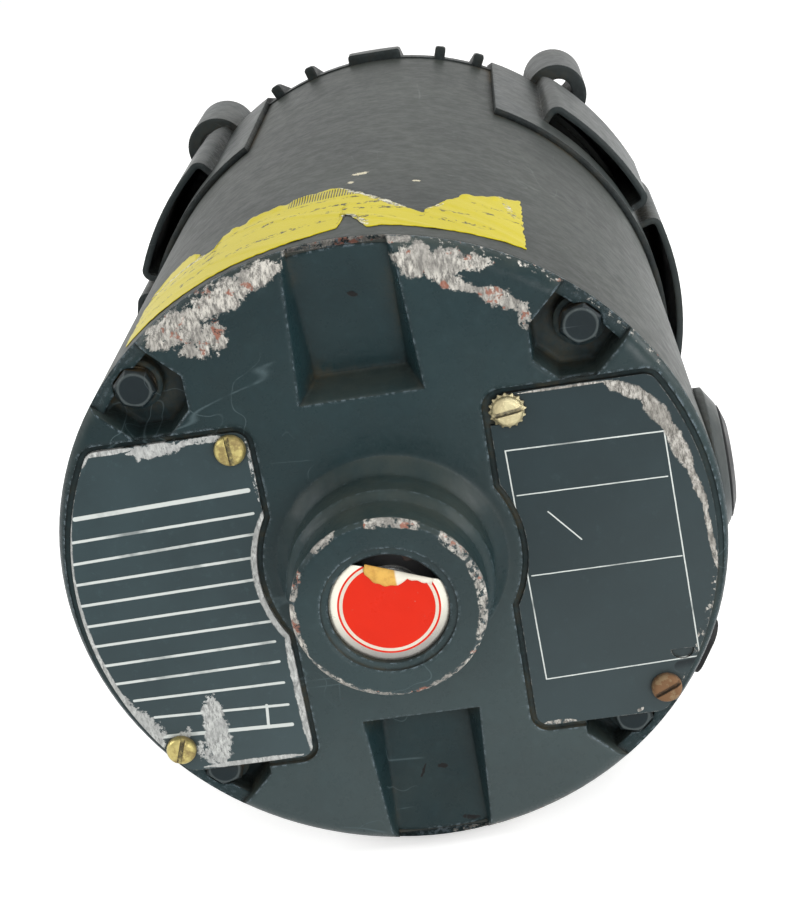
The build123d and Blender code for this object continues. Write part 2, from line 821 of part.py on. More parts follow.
# Terminal cover on the right, with an open corner at its upper screw and a half-round dimple
with BuildPart() as terminal_cover:
    with BuildSketch(across(plate_back)):
        add(plate_outline(0, 1))
        with Locations((plate_notch_x, plate_notch_z)):
            Rectangle(plate_notch_size, plate_notch_size, align=(Align.MAX, Align.MIN), mode=Mode.SUBTRACT)
        with Locations(*screw_points[:2]):
            Circle(screw_r + bolt_gap, mode=Mode.SUBTRACT)
    extrude(amount=plate_thickness)
    with BuildSketch(across(plate_back - plate_thickness + dimple_sunk)):
        with Locations((dimple_x, dimple_z)):
            Circle(dimple_r)
            Rectangle(2 * dimple_r, dimple_r, align=(Align.CENTER, Align.MIN), mode=Mode.SUBTRACT)
    extrude(amount=plate_thickness, mode=Mode.SUBTRACT)
terminal_cover.part.label = "terminal_cover"
export_step(terminal_cover.part, "parts/terminal_cover.step")


def slotted_screws(points, turns):
    """Round-head slotted screws standing on a plate; turns are the slot angles."""
    seat = plate_back - plate_thickness - rest_gap
    with BuildPart() as screws:
        with BuildSketch(across(seat)):
            with Locations(*points):
                Circle(screw_head_r)
        extrude(amount=screw_head_height)
        domes = screws.edges().filter_by(GeomType.CIRCLE).group_by(Axis.Y)[0]
        fillet(domes, screw_head_height * screw_dome)
        with BuildSketch(across(rear_face + screw_reach)):
            with Locations(*points):
                Circle(screw_r)
        extrude(amount=rear_face + screw_reach - seat + bite)
        with BuildSketch(across(seat - screw_head_height + screw_slot_depth)):
            for point, turn in zip(points, turns):
                with Locations(Location((*point, 0), turn)):
                    Rectangle(4 * screw_head_r, screw_slot)
        extrude(amount=screw_slot_depth + overcut, mode=Mode.SUBTRACT)
    return screws.part


nameplate_screws = slotted_screws(screw_points[2:], nameplate_slots)
nameplate_screws.label = "nameplate_screws"
export_step(nameplate_screws, "parts/nameplate_screws.step")
terminal_cover_screws = slotted_screws(screw_points[:2], cover_slots)
terminal_cover_screws.label = "terminal_cover_screws"
export_step(terminal_cover_screws, "parts/terminal_cover_screws.step")

# Disc in the hub bore, torn off along its upper edge
disc_back = ledge_station - slide_gap
with BuildPart() as hub_disc:
    with BuildSketch(across(disc_back)):
        Circle(hub_bore_r - disc_gap)
        with Locations(Location((*at_clock(torn_distance, torn_clock), 0), -torn_clock)):
            Rectangle(2 * hub_bore_r, hub_bore_r, align=(Align.CENTER, Align.MIN), mode=Mode.SUBTRACT)
    extrude(amount=disc_thickness)
hub_disc.part.label = "hub_disc"
export_step(hub_disc.part, "parts/hub_disc.step")

# Conduit boss welded on the right side of the shell
with BuildPart() as boss_form:
    with BuildSketch(Plane.XY):
        with BuildLine():
            top_x = shell_r + conduit_rise
            low_x = shell_r - conduit_sunk
            Polyline(
                (conduit_hole_r, low_x),
                (conduit_boss_r, low_x),
                (conduit_boss_r, top_x - conduit_bevel),
                (conduit_rim_r, top_x),
                (conduit_hole_r, top_x),
                close=True,
            )
        make_face()
    revolve(axis=Axis.Y)
conduit_ring = Pos(0, conduit_station, 0) * (Rot(0, 0, -90) * boss_form.part)
with BuildPart() as conduit_boss:
    add(conduit_ring)
    with BuildSketch(across(conduit_station + 2 * conduit_boss_r)):
        Circle(shell_r + seat_gap)
    extrude(amount=4 * conduit_boss_r, mode=Mode.SUBTRACT)
conduit_boss.part.label = "conduit_boss"
export_step(conduit_boss.part, "parts/conduit_boss.step")

# Snap-in plug that closes the conduit hole
with BuildPart() as plug_form:
    with BuildSketch(Plane.XY):
        with BuildLine():
            seat_x = top_x + slide_gap
            barrel_r = conduit_hole_r - fit_gap
            Polyline(
                (0, seat_x + plug_dome),
                (plug_flange_r - plug_slope, seat_x + plug_dome),
                (plug_flange_r, seat_x + plug_edge),
                (plug_flange_r, seat_x),
                (barrel_r, seat_x),
                (barrel_r, top_x - plug_depth - plug_wall),
                (barrel_r - plug_wall, top_x - plug_depth - plug_wall),
                (barrel_r - plug_wall, seat_x + plug_dome - plug_wall),
                (0, seat_x + plug_dome - plug_wall),
                close=True,
            )
        make_face()
    revolve(axis=Axis.Y)
conduit_plug = Pos(0, conduit_station, 0) * (Rot(0, 0, -90) * plug_form.part)
conduit_plug.label = "conduit_plug"
export_step(conduit_plug, "parts/conduit_plug.step")

# Rubber grommet in the slot of the shell, low on the right side
grommet_out = (sin(radians(grommet_clock)), 0, cos(radians(grommet_clock)))


def grommet_plane(radius):
    """Plane square to the shell's radius at the grommet, facing outward."""
    origin = (radius * grommet_out[0], rear_face + grommet_back, radius * grommet_out[2])
    return Plane(origin=origin, x_dir=(0, 1, 0), z_dir=grommet_out)


with BuildPart() as lead_grommet:
    with BuildSketch(grommet_plane(shell_bore_r - grommet_inside)):
        SlotOverall(grommet_length - 2 * fit_gap, grommet_width - 2 * fit_gap, rotation=90)
    extrude(amount=shell_wall + grommet_inside + grommet_rise)
    with BuildSketch(grommet_plane(shell_r - overcut)):
        SlotOverall(grommet_length + 2 * grommet_lip, grommet_width + 2 * grommet_lip, rotation=90)
    extrude(amount=overcut + grommet_rise)
    with BuildPart(mode=Mode.PRIVATE) as lip_cut:
        with BuildSketch(across(rear_face + grommet_back + grommet_cut)):
            Circle(shell_r + seat_gap)
        extrude(amount=2 * grommet_cut)
        with BuildSketch(grommet_plane(shell_bore_r - grommet_inside - overcut)):
            SlotOverall(grommet_length - 2 * fit_gap, grommet_width - 2 * fit_gap, rotation=90)
        extrude(amount=grommet_cut, mode=Mode.SUBTRACT)
    add(lip_cut.part, mode=Mode.SUBTRACT)
lead_grommet.part.label = "lead_grommet"
export_step(lead_grommet.part, "parts/lead_grommet.step")

# Yellow sticker on the shell, its upper edge torn unevenly
with BuildPart() as yellow_label:
    with BuildSketch(across(rear_face + sticker_back + sticker_reach)):
        Circle(shell_r + rest_gap + sticker_thickness)
        Circle(shell_r + rest_gap, mode=Mode.SUBTRACT)
    extrude(amount=sticker_reach)
    with BuildSketch(Plane.XY):
        with BuildLine():
            far_edge = [(shell_r * sin(radians(c)), rear_face + y) for c, y in sticker_edge]
            first_x = far_edge[0][0]
            last_x = far_edge[-1][0]
            near_y = rear_face + sticker_back
            Polyline((first_x, near_y), *far_edge, (last_x, near_y), close=True)
        make_face()
    extrude(amount=shell_r + overcut, mode=Mode.INTERSECT)
yellow_label.part.label = "yellow_label"
export_step(yellow_label.part, "parts/yellow_label.step")

# Terminal board on its posts behind the terminal cover
board_rear = rear_face + board_depth + rest_gap
board_front = board_rear + board_thickness
stud_points = [(board_centre + c * stud_pitch, r * row_pitch) for c in (-1, 0, 1) for r in (-1, 0, 1)]
post_points = [(x, z) for x in post_xs for z in post_zs]
with BuildPart() as terminal_board:
    with BuildSketch(across(board_front)):
        with Locations((board_centre, (board_top + board_bottom) / 2)):
            Rectangle(2 * board_half_width, board_top - board_bottom)
        with Locations(*stud_points):
            Circle(stud_r + thread_gap, mode=Mode.SUBTRACT)
        with Locations(*post_points):
            Circle(board_screw_r + bolt_gap, mode=Mode.SUBTRACT)
    extrude(amount=board_thickness)
terminal_board.part.label = "terminal_board"
export_step(terminal_board.part, "parts/terminal_board.step")

# Terminal studs with their heads on the inside of the board
with BuildPart() as terminal_studs:
    with BuildSketch(across(board_front + rest_gap + stud_head)):
        with Locations(*stud_points):
            Circle(stud_head_r)
    extrude(amount=stud_head)
    with BuildSketch(across(board_front + bite)):
        with Locations(*stud_points):
            Circle(stud_r)
    extrude(amount=board_thickness + stud_reach)
terminal_studs.part.label = "terminal_studs"
export_step(terminal_studs.part, "parts/terminal_studs.step")

# Nuts on the studs
with BuildPart() as terminal_nuts:
    with BuildSketch(across(board_rear - slide_gap)):
        with Locations(*stud_points):
            RegularPolygon(nut_flats / 2, 6, major_radius=False, rotation=30)
        with Locations(*stud_points):
            Circle(stud_r + thread_gap, mode=Mode.SUBTRACT)
    extrude(amount=nut_height)
terminal_nuts.part.label = "terminal_nuts"
export_step(terminal_nuts.part, "parts/terminal_nuts.step")

# Screws that hold the board to the posts, put in from the inside
with BuildPart() as board_screws:
    with BuildSketch(across(board_front + rest_gap + board_screw_head)):
        with Locations(*post_points):
            Circle(board_screw_head_r)
    extrude(amount=board_screw_head)
    with BuildSketch(across(board_front + bite)):
        with Locations(*post_points):
            Circle(board_screw_r)
    extrude(amount=board_thickness + board_screw_reach)
    with BuildSketch(across(board_front + board_screw_head + fit_gap)):
        for point in post_points:
            with Locations(Location((*point, 0), board_slot_turn)):
                Rectangle(3 * board_screw_head_r, board_slot)
    extrude(amount=board_slot, mode=Mode.SUBTRACT)
board_screws.part.label = "board_screws"
export_step(board_screws.part, "parts/board_screws.step")

# Ground screw on its tab, reached from behind the cover
ground_seat = rear_face + rear_wall - ground_sunk
with BuildPart() as ground_screw:
    with BuildSketch(across(ground_seat)):
        with Locations((board_centre, ground_z)):
            RegularPolygon(ground_head_r, 6)
    extrude(amount=ground_head)
    with BuildSketch(across(ground_seat + ground_reach)):
        with Locations((board_centre, ground_z)):
            Circle(screw_r)
    extrude(amount=ground_reach + bite)
ground_screw.part.label = "ground_screw"
export_step(ground_screw.part, "parts/ground_screw.step")

# Motor leads from the studs to the rear end turns of the winding
lead_start = board_front + stud_head + lead_gap
turn_rear = stack_rear - end_turn_step - end_turn_length
with BuildPart() as lead_wires:
    for column, end_x in zip((-1, 0, 1), lead_ends):
        for row in (-1, 0, 1):
            start_x = board_centre + column * stud_pitch
            lead_z = row * row_pitch
            with BuildLine() as lead_path:
                FilletPolyline(
                    (start_x, lead_start, lead_z),
                    (start_x, lead_start + lead_run, lead_z),
                    (end_x, turn_rear - lead_run, lead_z),
                    (end_x, turn_rear - lead_gap, lead_z),
                    radius=lead_bend_r,
                )
            with BuildSketch(Plane(origin=(start_x, lead_start, lead_z), z_dir=(0, 1, 0))):
                Circle(lead_r)
            sweep(path=lead_path.line)
lead_wires.part.label = "lead_wires"
export_step(lead_wires.part, "parts/lead_wires.step")

# Stator core: laminations with slots inside and notches for the through bolts outside


def slot_half_width(radius):
    """Half width of a stator slot at a radius."""
    share = (radius - slot_shoulder_r) / (slot_floor_r - slot_shoulder_r)
    return (slot_foot_width + (slot_floor_width - slot_foot_width) * share) / 2


def wedge_face(near, far, gap):
    """Slot section between two radii along +Z, drawn smaller all round by gap."""
    with BuildSketch() as face:
        low = slot_half_width(near) - gap
        high = slot_half_width(far) - gap
        Polygon((-low, near), (low, near), (high, far), (-high, far), align=None)
    return face.sketch


with BuildPart() as stator_core:
    with BuildSketch(across(stack_front)):
        Circle(shell_bore_r - core_gap)
        Circle(bore_r, mode=Mode.SUBTRACT)
        with PolarLocations(0, slot_count, start_angle=slot_count / 2):
            add(wedge_face(slot_shoulder_r, slot_floor_r, 0), mode=Mode.SUBTRACT)
            with Locations((0, slot_shoulder_r)):
                Polygon(
                    (-slot_mouth / 2, bore_r - overcut - slot_shoulder_r),
                    (slot_mouth / 2, bore_r - overcut - slot_shoulder_r),
                    (slot_mouth / 2, bore_r + slot_tip - slot_shoulder_r),
                    (slot_foot_width / 2, 0),
                    (slot_foot_width / 2, rest_gap),
                    (-slot_foot_width / 2, rest_gap),
                    (-slot_foot_width / 2, 0),
                    (-slot_mouth / 2, bore_r + slot_tip - slot_shoulder_r),
                    align=None,
                    mode=Mode.SUBTRACT,
                )
        for clock in corner_clocks:
            with Locations(Location((*at_clock(bolt_circle_r, clock), 0), -clock)):
                Circle(bolt_r + notch_gap, mode=Mode.SUBTRACT)
                Rectangle(
                    2 * (bolt_r + notch_gap), notch_depth, align=(Align.CENTER, Align.MIN), mode=Mode.SUBTRACT
                )
    extrude(amount=stack_length)
stator_core.part.label = "stator_core"
export_step(stator_core.part, "parts/stator_core.step")

# Slot wedges that close the slots towards the bore
coil_start_r = slot_shoulder_r + wedge_height + bite
with BuildPart() as slot_wedges:
    with BuildSketch(across(stack_front + end_turn_step)):
        with PolarLocations(0, slot_count, start_angle=slot_count / 2):
            add(wedge_face(slot_shoulder_r + wedge_gap, slot_shoulder_r + wedge_height, wedge_gap))
    extrude(amount=stack_length + 2 * end_turn_step)
slot_wedges.part.label = "slot_wedges"
export_step(slot_wedges.part, "parts/slot_wedges.step")

# Stator winding: coil sides in the slots and the end turns at both ends
with BuildPart() as stator_winding:
    with BuildSketch(across(stack_front + end_turn_step + overcut)):
        with PolarLocations(0, slot_count, start_angle=slot_count / 2):
            add(wedge_face(coil_start_r, slot_floor_r - liner, liner))
    extrude(amount=stack_length + 2 * (end_turn_step + overcut))
    with BuildSketch(Plane.XY):
        for near, way in ((stack_front + end_turn_step, 1), (stack_rear - end_turn_step, -1)):
            far = near + way * end_turn_length
            Polygon(
                (end_turn_inner_r + end_turn_foot, near),
                (end_turn_outer_r - end_turn_round, near),
                (end_turn_outer_r, near + way * end_turn_round),
                (end_turn_outer_r, far - way * end_turn_round),
                (end_turn_outer_r - end_turn_round, far),
                (end_turn_inner_r + end_turn_round - end_turn_slope, far),
                (end_turn_inner_r, far - way * end_turn_round / 2),
                align=None,
            )
    revolve(axis=Axis.Y)
stator_winding.part.label = "stator_winding"
export_step(stator_winding.part, "parts/stator_winding.step")

# Rotor core: laminations with closed bar slots


def bar_face(gap):
    """Section of one rotor bar along +Z, drawn smaller all round by gap."""
    with BuildSketch() as face:
        Polygon(
            (gap - bar_inner_width / 2, bar_inner_r + gap),
            (bar_inner_width / 2 - gap, bar_inner_r + gap),
            (bar_outer_width / 2 - gap, bar_outer_r - gap),
            (gap - bar_outer_width / 2, bar_outer_r - gap),
            align=None,
        )
    return face.sketch


with BuildPart() as rotor_core:
    with BuildSketch(across(stack_front)):
        Circle(rotor_r)
        Circle(core_seat_r + race_gap, mode=Mode.SUBTRACT)
        with PolarLocations(0, bar_count):
            add(bar_face(0), mode=Mode.SUBTRACT)
    extrude(amount=stack_length)
rotor_core.part.label = "rotor_core"
export_step(rotor_core.part, "parts/rotor_core.step")

# Rotor cage: cast bars, end rings and fan blades in one piece
with BuildPart() as rotor_cage:
    with BuildSketch(across(stack_front + overcut)):
        with PolarLocations(0, bar_count):
            add(bar_face(bar_gap))
    extrude(amount=stack_length + 2 * overcut)
    for near, way in ((stack_front + bar_gap, 1), (stack_rear - bar_gap, -1)):
        ring_front = near + ring_thickness if way > 0 else near
        with BuildSketch(across(ring_front)):
            Circle(rotor_r - ring_step)
            Circle(ring_inner_r, mode=Mode.SUBTRACT)
        extrude(amount=ring_thickness)
        blade_front = ring_front + blade_height if way > 0 else ring_front - ring_thickness + blade_bite
        with BuildSketch(across(blade_front)):
            blade_tip_r = rotor_r - blade_tip_gap
            with PolarLocations((blade_draft_r + blade_tip_r) / 2, blade_count):
                Rectangle(blade_tip_r - blade_draft_r, blade_thickness)
        extrude(amount=blade_height + blade_bite)
rotor_cage.part.label = "rotor_cage"
export_step(rotor_cage.part, "parts/rotor_cage.step")

# Shaft with bearing journals, core seat, snap ring groove, key seat and centre holes
shaft_rear = rear_bearing_rear - shaft_end_gap
front_journal_r = front_bearing_size[0]
rear_journal_r = rear_bearing_size[0]
groove_rear = -front_bearing_back + slide_gap
groove_front = groove_rear + snap_ring_width + snap_side_gap
with BuildPart() as shaft:
    with BuildSketch(lathe(key_seam_clock)):
        with BuildLine():
            Polyline(
                (0, shaft_rear),
                (rear_journal_r - journal_bevel, shaft_rear),
                (rear_journal_r, shaft_rear + journal_bevel),
                (rear_journal_r, rear_bearing_front),
                (rear_journal_r + journal_shoulder, rear_bearing_front),
                (rear_journal_r + journal_shoulder, stack_rear - core_seat_rear),
                (core_seat_r, stack_rear - core_seat_rear),
                (core_seat_r, stack_front + core_seat_front),
                (front_journal_r + journal_shoulder, stack_front + core_seat_front),
                (front_journal_r + journal_shoulder, front_bearing_rear),
                (front_journal_r, front_bearing_rear),
                (front_journal_r, groove_rear),
                (front_journal_r - snap_groove_depth, groove_rear),
                (front_journal_r - snap_groove_depth, groove_front),
                (front_journal_r, groove_front),
                (front_journal_r, groove_front + snap_land),
                (shaft_seat_r, groove_front + snap_land),
                (shaft_seat_r, shaft_seat_end),
                (shaft_r, shaft_seat_end),
                (shaft_r, shaft_reach - shaft_bevel),
                (shaft_r - shaft_bevel, shaft_reach),
                (0, shaft_reach),
                close=True,
            )
        make_face()
    revolve(axis=Axis.Y)
    with BuildSketch(across(shaft_reach)):
        with Locations((0, -key_floor)):
            Rectangle(key_width, shaft_r, align=(Align.CENTER, Align.MAX))
    extrude(amount=key_length, mode=Mode.SUBTRACT)
    with BuildSketch(Plane.XY):
        for tip, way in ((shaft_reach, -1), (shaft_rear, 1)):
            Polygon(
                (0, tip - way),
                (centre_hole_r, tip),
                (centre_drill_r, tip + centre_hole_depth * way),
                (0, tip + centre_drill_depth * way),
                align=None,
            )
    revolve(axis=Axis.Y, mode=Mode.SUBTRACT)
shaft.part.label = "shaft"
export_step(shaft.part, "parts/shaft.step")

# Square key in the shaft's key seat
with BuildPart() as shaft_key:
    with BuildSketch(across(shaft_reach - key_end_gap)):
        with Locations((0, -key_floor - slide_gap)):
            Rectangle(key_width - 2 * slide_gap, key_width, align=(Align.CENTER, Align.MAX))
    extrude(amount=key_length - key_end_gap - fit_gap)
shaft_key.part.label = "shaft_key"
export_step(shaft_key.part, "parts/shaft_key.step")

# Snap ring in front of the front bearing
with BuildPart() as snap_ring:
    with BuildSketch(across(groove_rear + snap_ring_width + 2 * rest_gap)):
        Circle(front_journal_r - snap_groove_depth + snap_ring_wall)
        Circle(front_journal_r - snap_groove_depth + rest_gap, mode=Mode.SUBTRACT)
        with Locations((0, front_journal_r)):
            Rectangle(snap_opening, 2 * snap_ring_wall + overcut, mode=Mode.SUBTRACT)
    extrude(amount=snap_ring_width)
snap_ring.part.label = "snap_ring"
export_step(snap_ring.part, "parts/snap_ring.step")

# Rubber slinger on the shaft in front of the end shield
with BuildPart() as shaft_slinger:
    with BuildSketch(Plane.XY):
        with BuildLine():
            slinger_rear = drive_hub_rise + slinger_gap
            Polyline(
                (shaft_seat_r + rest_gap, slinger_rear),
                (slinger_r, slinger_rear),
                (slinger_r, slinger_rear + slinger_lip),
                (shaft_seat_r + slinger_body, slinger_rear + slinger_thickness),
                (shaft_seat_r + rest_gap, slinger_rear + slinger_thickness),
                close=True,
            )
        make_face()
    revolve(axis=Axis.Y)
shaft_slinger.part.label = "shaft_slinger"
export_step(shaft_slinger.part, "parts/shaft_slinger.step")


def bearing(name, size, rear):
    """Writes the five pieces of a shielded ball bearing whose rear side is at a station."""
    bore, outer, width, ball, pitch = size
    middle = rear + width / 2
    inner_land = pitch - race_land * 2 * ball
    outer_land = pitch + race_land * 2 * ball
    cage_width = 2 * (ball + cage_margin)
    with BuildPart() as outer_race:
        with BuildSketch(Plane.XY):
            Polygon(
                (outer_land, rear),
                (outer - race_edge, rear),
                (outer, rear + race_edge),
                (outer, rear + width - race_edge),
                (outer - race_edge, rear + width),
                (outer_land, rear + width),
                align=None,
            )
            with Locations((pitch, middle)):
                Circle(ball + ball_gap, mode=Mode.SUBTRACT)
        revolve(axis=Axis.Y)
    with BuildPart() as inner_race:
        with BuildSketch(Plane.XY):
            Polygon(
                (bore + race_gap, rear),
                (inner_land, rear),
                (inner_land, rear + width),
                (bore + race_gap, rear + width),
                align=None,
            )
            with Locations((pitch, middle)):
                Circle(ball + ball_gap, mode=Mode.SUBTRACT)
        revolve(axis=Axis.Y)
    with BuildPart() as balls:
        with PolarLocations(pitch, ball_count):
            Sphere(ball)
    ball_set = Pos(0, middle, 0) * (Rot(90, 0, 0) * balls.part)
    with BuildPart() as cage_form:
        Cylinder(pitch + cage_thickness / 2, cage_width)
        Cylinder(pitch - cage_thickness / 2, cage_width, mode=Mode.SUBTRACT)
        with PolarLocations(pitch, ball_count):
            Cylinder(ball + cage_pocket_gap, 4 * cage_thickness, rotation=(0, 90, 0), mode=Mode.SUBTRACT)
    cage = Pos(0, middle, 0) * (Rot(90, 0, 0) * cage_form.part)
    with BuildPart() as side_shields:
        for station in (rear + bearing_shield_sunk, rear + width - bearing_shield_sunk - bearing_shield):
            with BuildSketch(across(station + bearing_shield)):
                Circle(outer_land - rest_gap)
                Circle(inner_land + shield_gap, mode=Mode.SUBTRACT)
            extrude(amount=bearing_shield)
    pieces = (
        ("outer_race", outer_race.part),
        ("inner_race", inner_race.part),
        ("balls", ball_set),
        ("cage", cage),
        ("shields", side_shields.part),
    )
    for piece_name, piece in pieces:
        piece.label = name + "_bearing_" + piece_name
        export_step(piece, "parts/" + piece.label + ".step")


# Rear bearing and front bearing
bearing("rear", rear_bearing_size, rear_bearing_rear)
bearing("front", front_bearing_size, front_bearing_rear)

# Conical washer that preloads the rear bearing
with BuildPart() as preload_spring:
    with BuildSketch(Plane.XY):
        spring_outer_r = rear_bearing_size[1] - spring_side_gap
        spring_rear = hub_shoulder + slide_gap
        spring_front = rear_bearing_rear - slide_gap
        Polygon(
            (spring_inner_r, spring_rear),
            (spring_inner_r + spring_edge, spring_rear),
            (spring_outer_r, spring_front - spring_thickness),
            (spring_outer_r, spring_front),
            (spring_outer_r - spring_edge, spring_front),
            (spring_inner_r, spring_rear + spring_thickness),
            align=None,
        )
    revolve(axis=Axis.Y)
preload_spring.part.label = "preload_spring"
export_step(preload_spring.part, "parts/preload_spring.step")

# Plate behind the front bearing and its screws
retainer_front = front_bearing_rear - slide_gap
with BuildPart() as front_bearing_retainer:
    with BuildSketch(across(retainer_front)):
        Circle(drive_hub_r - retainer_gap)
        Circle(retainer_inner_r, mode=Mode.SUBTRACT)
        with Locations(*[at_clock(retainer_screw_r, c) for c in retainer_clocks]):
            Circle(board_screw_r + bolt_gap, mode=Mode.SUBTRACT)
    extrude(amount=retainer_thickness)
front_bearing_retainer.part.label = "front_bearing_retainer"
export_step(front_bearing_retainer.part, "parts/front_bearing_retainer.step")

retainer_rear = retainer_front - retainer_thickness - rest_gap
with BuildPart() as retainer_screws:
    with BuildSketch(across(retainer_rear)):
        with Locations(*[at_clock(retainer_screw_r, c) for c in retainer_clocks]):
            Circle(board_screw_head_r)
    extrude(amount=board_screw_head)
    with BuildSketch(across(retainer_rear + retainer_thickness + board_screw_reach)):
        with Locations(*[at_clock(retainer_screw_r, c) for c in retainer_clocks]):
            Circle(board_screw_r)
    extrude(amount=retainer_thickness + board_screw_reach + bite)
    with BuildSketch(across(retainer_rear - board_screw_head + board_slot)):
        for clock in retainer_clocks:
            with Locations(Location((*at_clock(retainer_screw_r, clock), 0), retainer_slot_turn - clock)):
                Rectangle(3 * board_screw_head_r, board_slot)
    extrude(amount=board_slot + overcut, mode=Mode.SUBTRACT)
retainer_screws.part.label = "retainer_screws"
export_step(retainer_screws.part, "parts/retainer_screws.step")
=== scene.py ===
import functools
import math
import random

import bmesh
import bpy
from mathutils import Matrix, Vector


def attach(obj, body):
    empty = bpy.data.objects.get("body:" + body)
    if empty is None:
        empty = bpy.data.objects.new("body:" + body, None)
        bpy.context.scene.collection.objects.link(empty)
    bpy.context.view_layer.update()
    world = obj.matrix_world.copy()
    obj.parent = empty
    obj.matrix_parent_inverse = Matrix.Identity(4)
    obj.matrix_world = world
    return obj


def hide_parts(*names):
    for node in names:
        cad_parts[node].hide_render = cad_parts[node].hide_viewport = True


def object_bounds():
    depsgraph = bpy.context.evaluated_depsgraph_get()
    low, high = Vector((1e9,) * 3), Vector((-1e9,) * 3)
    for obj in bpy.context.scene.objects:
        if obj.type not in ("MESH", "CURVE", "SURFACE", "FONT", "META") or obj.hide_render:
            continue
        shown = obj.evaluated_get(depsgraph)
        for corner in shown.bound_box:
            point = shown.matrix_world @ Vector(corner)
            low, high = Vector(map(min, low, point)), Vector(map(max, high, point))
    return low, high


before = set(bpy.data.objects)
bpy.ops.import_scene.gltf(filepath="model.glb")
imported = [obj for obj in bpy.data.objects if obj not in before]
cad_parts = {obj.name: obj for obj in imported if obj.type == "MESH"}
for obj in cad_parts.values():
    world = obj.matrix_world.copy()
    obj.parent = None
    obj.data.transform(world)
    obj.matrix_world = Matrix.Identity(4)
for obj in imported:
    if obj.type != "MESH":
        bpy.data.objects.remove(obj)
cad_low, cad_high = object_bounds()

# Shaft: ground steel bar, turned to its steps and journals, with a square key drawn from bar stock.
# The bare steel has fine turning lines round it and a thin film of oil that has browned in places.
# The node wiring that every finish below uses is set up here too: nodes go into the tree that was opened last.


def open_tree(next_tree):
    global tree
    tree = next_tree


def put(kind, **settings):
    """One node in the open tree; settings are its own properties."""
    node = tree.nodes.new(kind if "Node" in kind else "ShaderNode" + kind)
    for name, value in settings.items():
        setattr(node, name, value)
    return node


def feed(socket, value):
    """Gives a socket a fixed value or the output of another node."""
    if isinstance(value, bpy.types.NodeSocket):
        tree.links.new(value, socket)
    elif value is not None:
        socket.default_value = value


def made(kind, inputs, output=0, **settings):
    """A node with what its inputs are given, by label or number; gives one of its outputs."""
    node = put(kind, **settings)
    for label, value in inputs.items():
        feed(node.inputs[label], value)
    return node.outputs[output]


def sums(operation, a, b=None, c=None, clamp=False):
    return made("Math", {0: a, 1: b, 2: c}, operation=operation, use_clamp=clamp)


def times(a, b, clamp=False):
    return sums("MULTIPLY", a, b, clamp=clamp)


def plus(a, b, clamp=False):
    return sums("ADD", a, b, clamp=clamp)


def minus(a, b):
    return sums("SUBTRACT", a, b)


def larger(a, b):
    return sums("MAXIMUM", a, b)


def length(a, b):
    """Length of the line whose two square parts are a and b."""
    return sums("SQRT", sums("MULTIPLY_ADD", a, a, times(b, b)))


def arrow(operation, a, b=None, scale=None):
    output = "Value" if operation in ("DOT_PRODUCT", "LENGTH") else "Vector"
    return made("VectorMath", {0: a, 1: b, 3: scale}, output, operation=operation)


def cover(mask, under, over):
    """Lays one colour over another where the mask is 1."""
    under, over = (c if isinstance(c, bpy.types.NodeSocket) else (*c, 1.0) for c in (under, over))
    return made("Mix", {0: mask, 6: under, 7: over}, 2, data_type="RGBA")


def window(value, low, high, out_low=0.0, out_high=1.0):
    """Smooth step from low to high."""
    steps = dict(enumerate((value, low, high, out_low, out_high)))
    return made("MapRange", steps, interpolation_type="SMOOTHSTEP")


def between(value, low, high, soft):
    """1 from low to high, with a soft step at each end."""
    return times(window(value, low, low + soft), window(value, high + soft, high))


def split(vector):
    node = put("SeparateXYZ")
    feed(node.inputs[0], vector)
    return node.outputs


def own_place():
    return put("TexCoord").outputs["Object"]


def own_normal():
    return put("TexCoord").outputs["Normal"]


def place(scale=(1.0, 1.0, 1.0), turn=(0.0, 0.0, 0.0)):
    """Object coordinates, stretched and turned."""
    return made("Mapping", {"Vector": own_place(), "Scale": scale, "Rotation": turn})


def cloud(scale, detail=4.0, roughness=0.55, at=None, colour=False, distortion=0.0):
    sizes = {"Scale": scale, "Detail": detail, "Roughness": roughness, "Distortion": distortion}
    return made("TexNoise", {"Vector": at or own_place(), **sizes}, "Color" if colour else "Fac")


def wave(kind, direction, at=None, **sizes):
    """Wave texture: straight bands or rings across one direction."""
    inputs = {"Vector": at or own_place(), **{label.replace("_", " "): value for label, value in sizes.items()}}
    return made("TexWave", inputs, "Fac", wave_type=kind, **{kind.lower() + "_direction": direction})


def new_group(name, inputs, outputs):
    """Opens a shader group with named float or vector inputs; gives it with its own inputs and outputs."""
    group = bpy.data.node_groups.new(name, "ShaderNodeTree")
    for label, value in inputs:
        kind = "NodeSocketVector" if isinstance(value, tuple) else "NodeSocketFloat"
        socket = group.interface.new_socket(name=label, in_out="INPUT", socket_type=kind)
        socket.default_value = value
    for label in outputs:
        group.interface.new_socket(name=label, in_out="OUTPUT", socket_type="NodeSocketFloat")
    open_tree(group)
    return group, put("NodeGroupInput").outputs, put("NodeGroupOutput").inputs


def apply_group(group, **values):
    node = put("Group")
    node.node_tree = group
    for label, value in values.items():
        feed(node.inputs[label.replace("_", " ")], value)
    return node.outputs


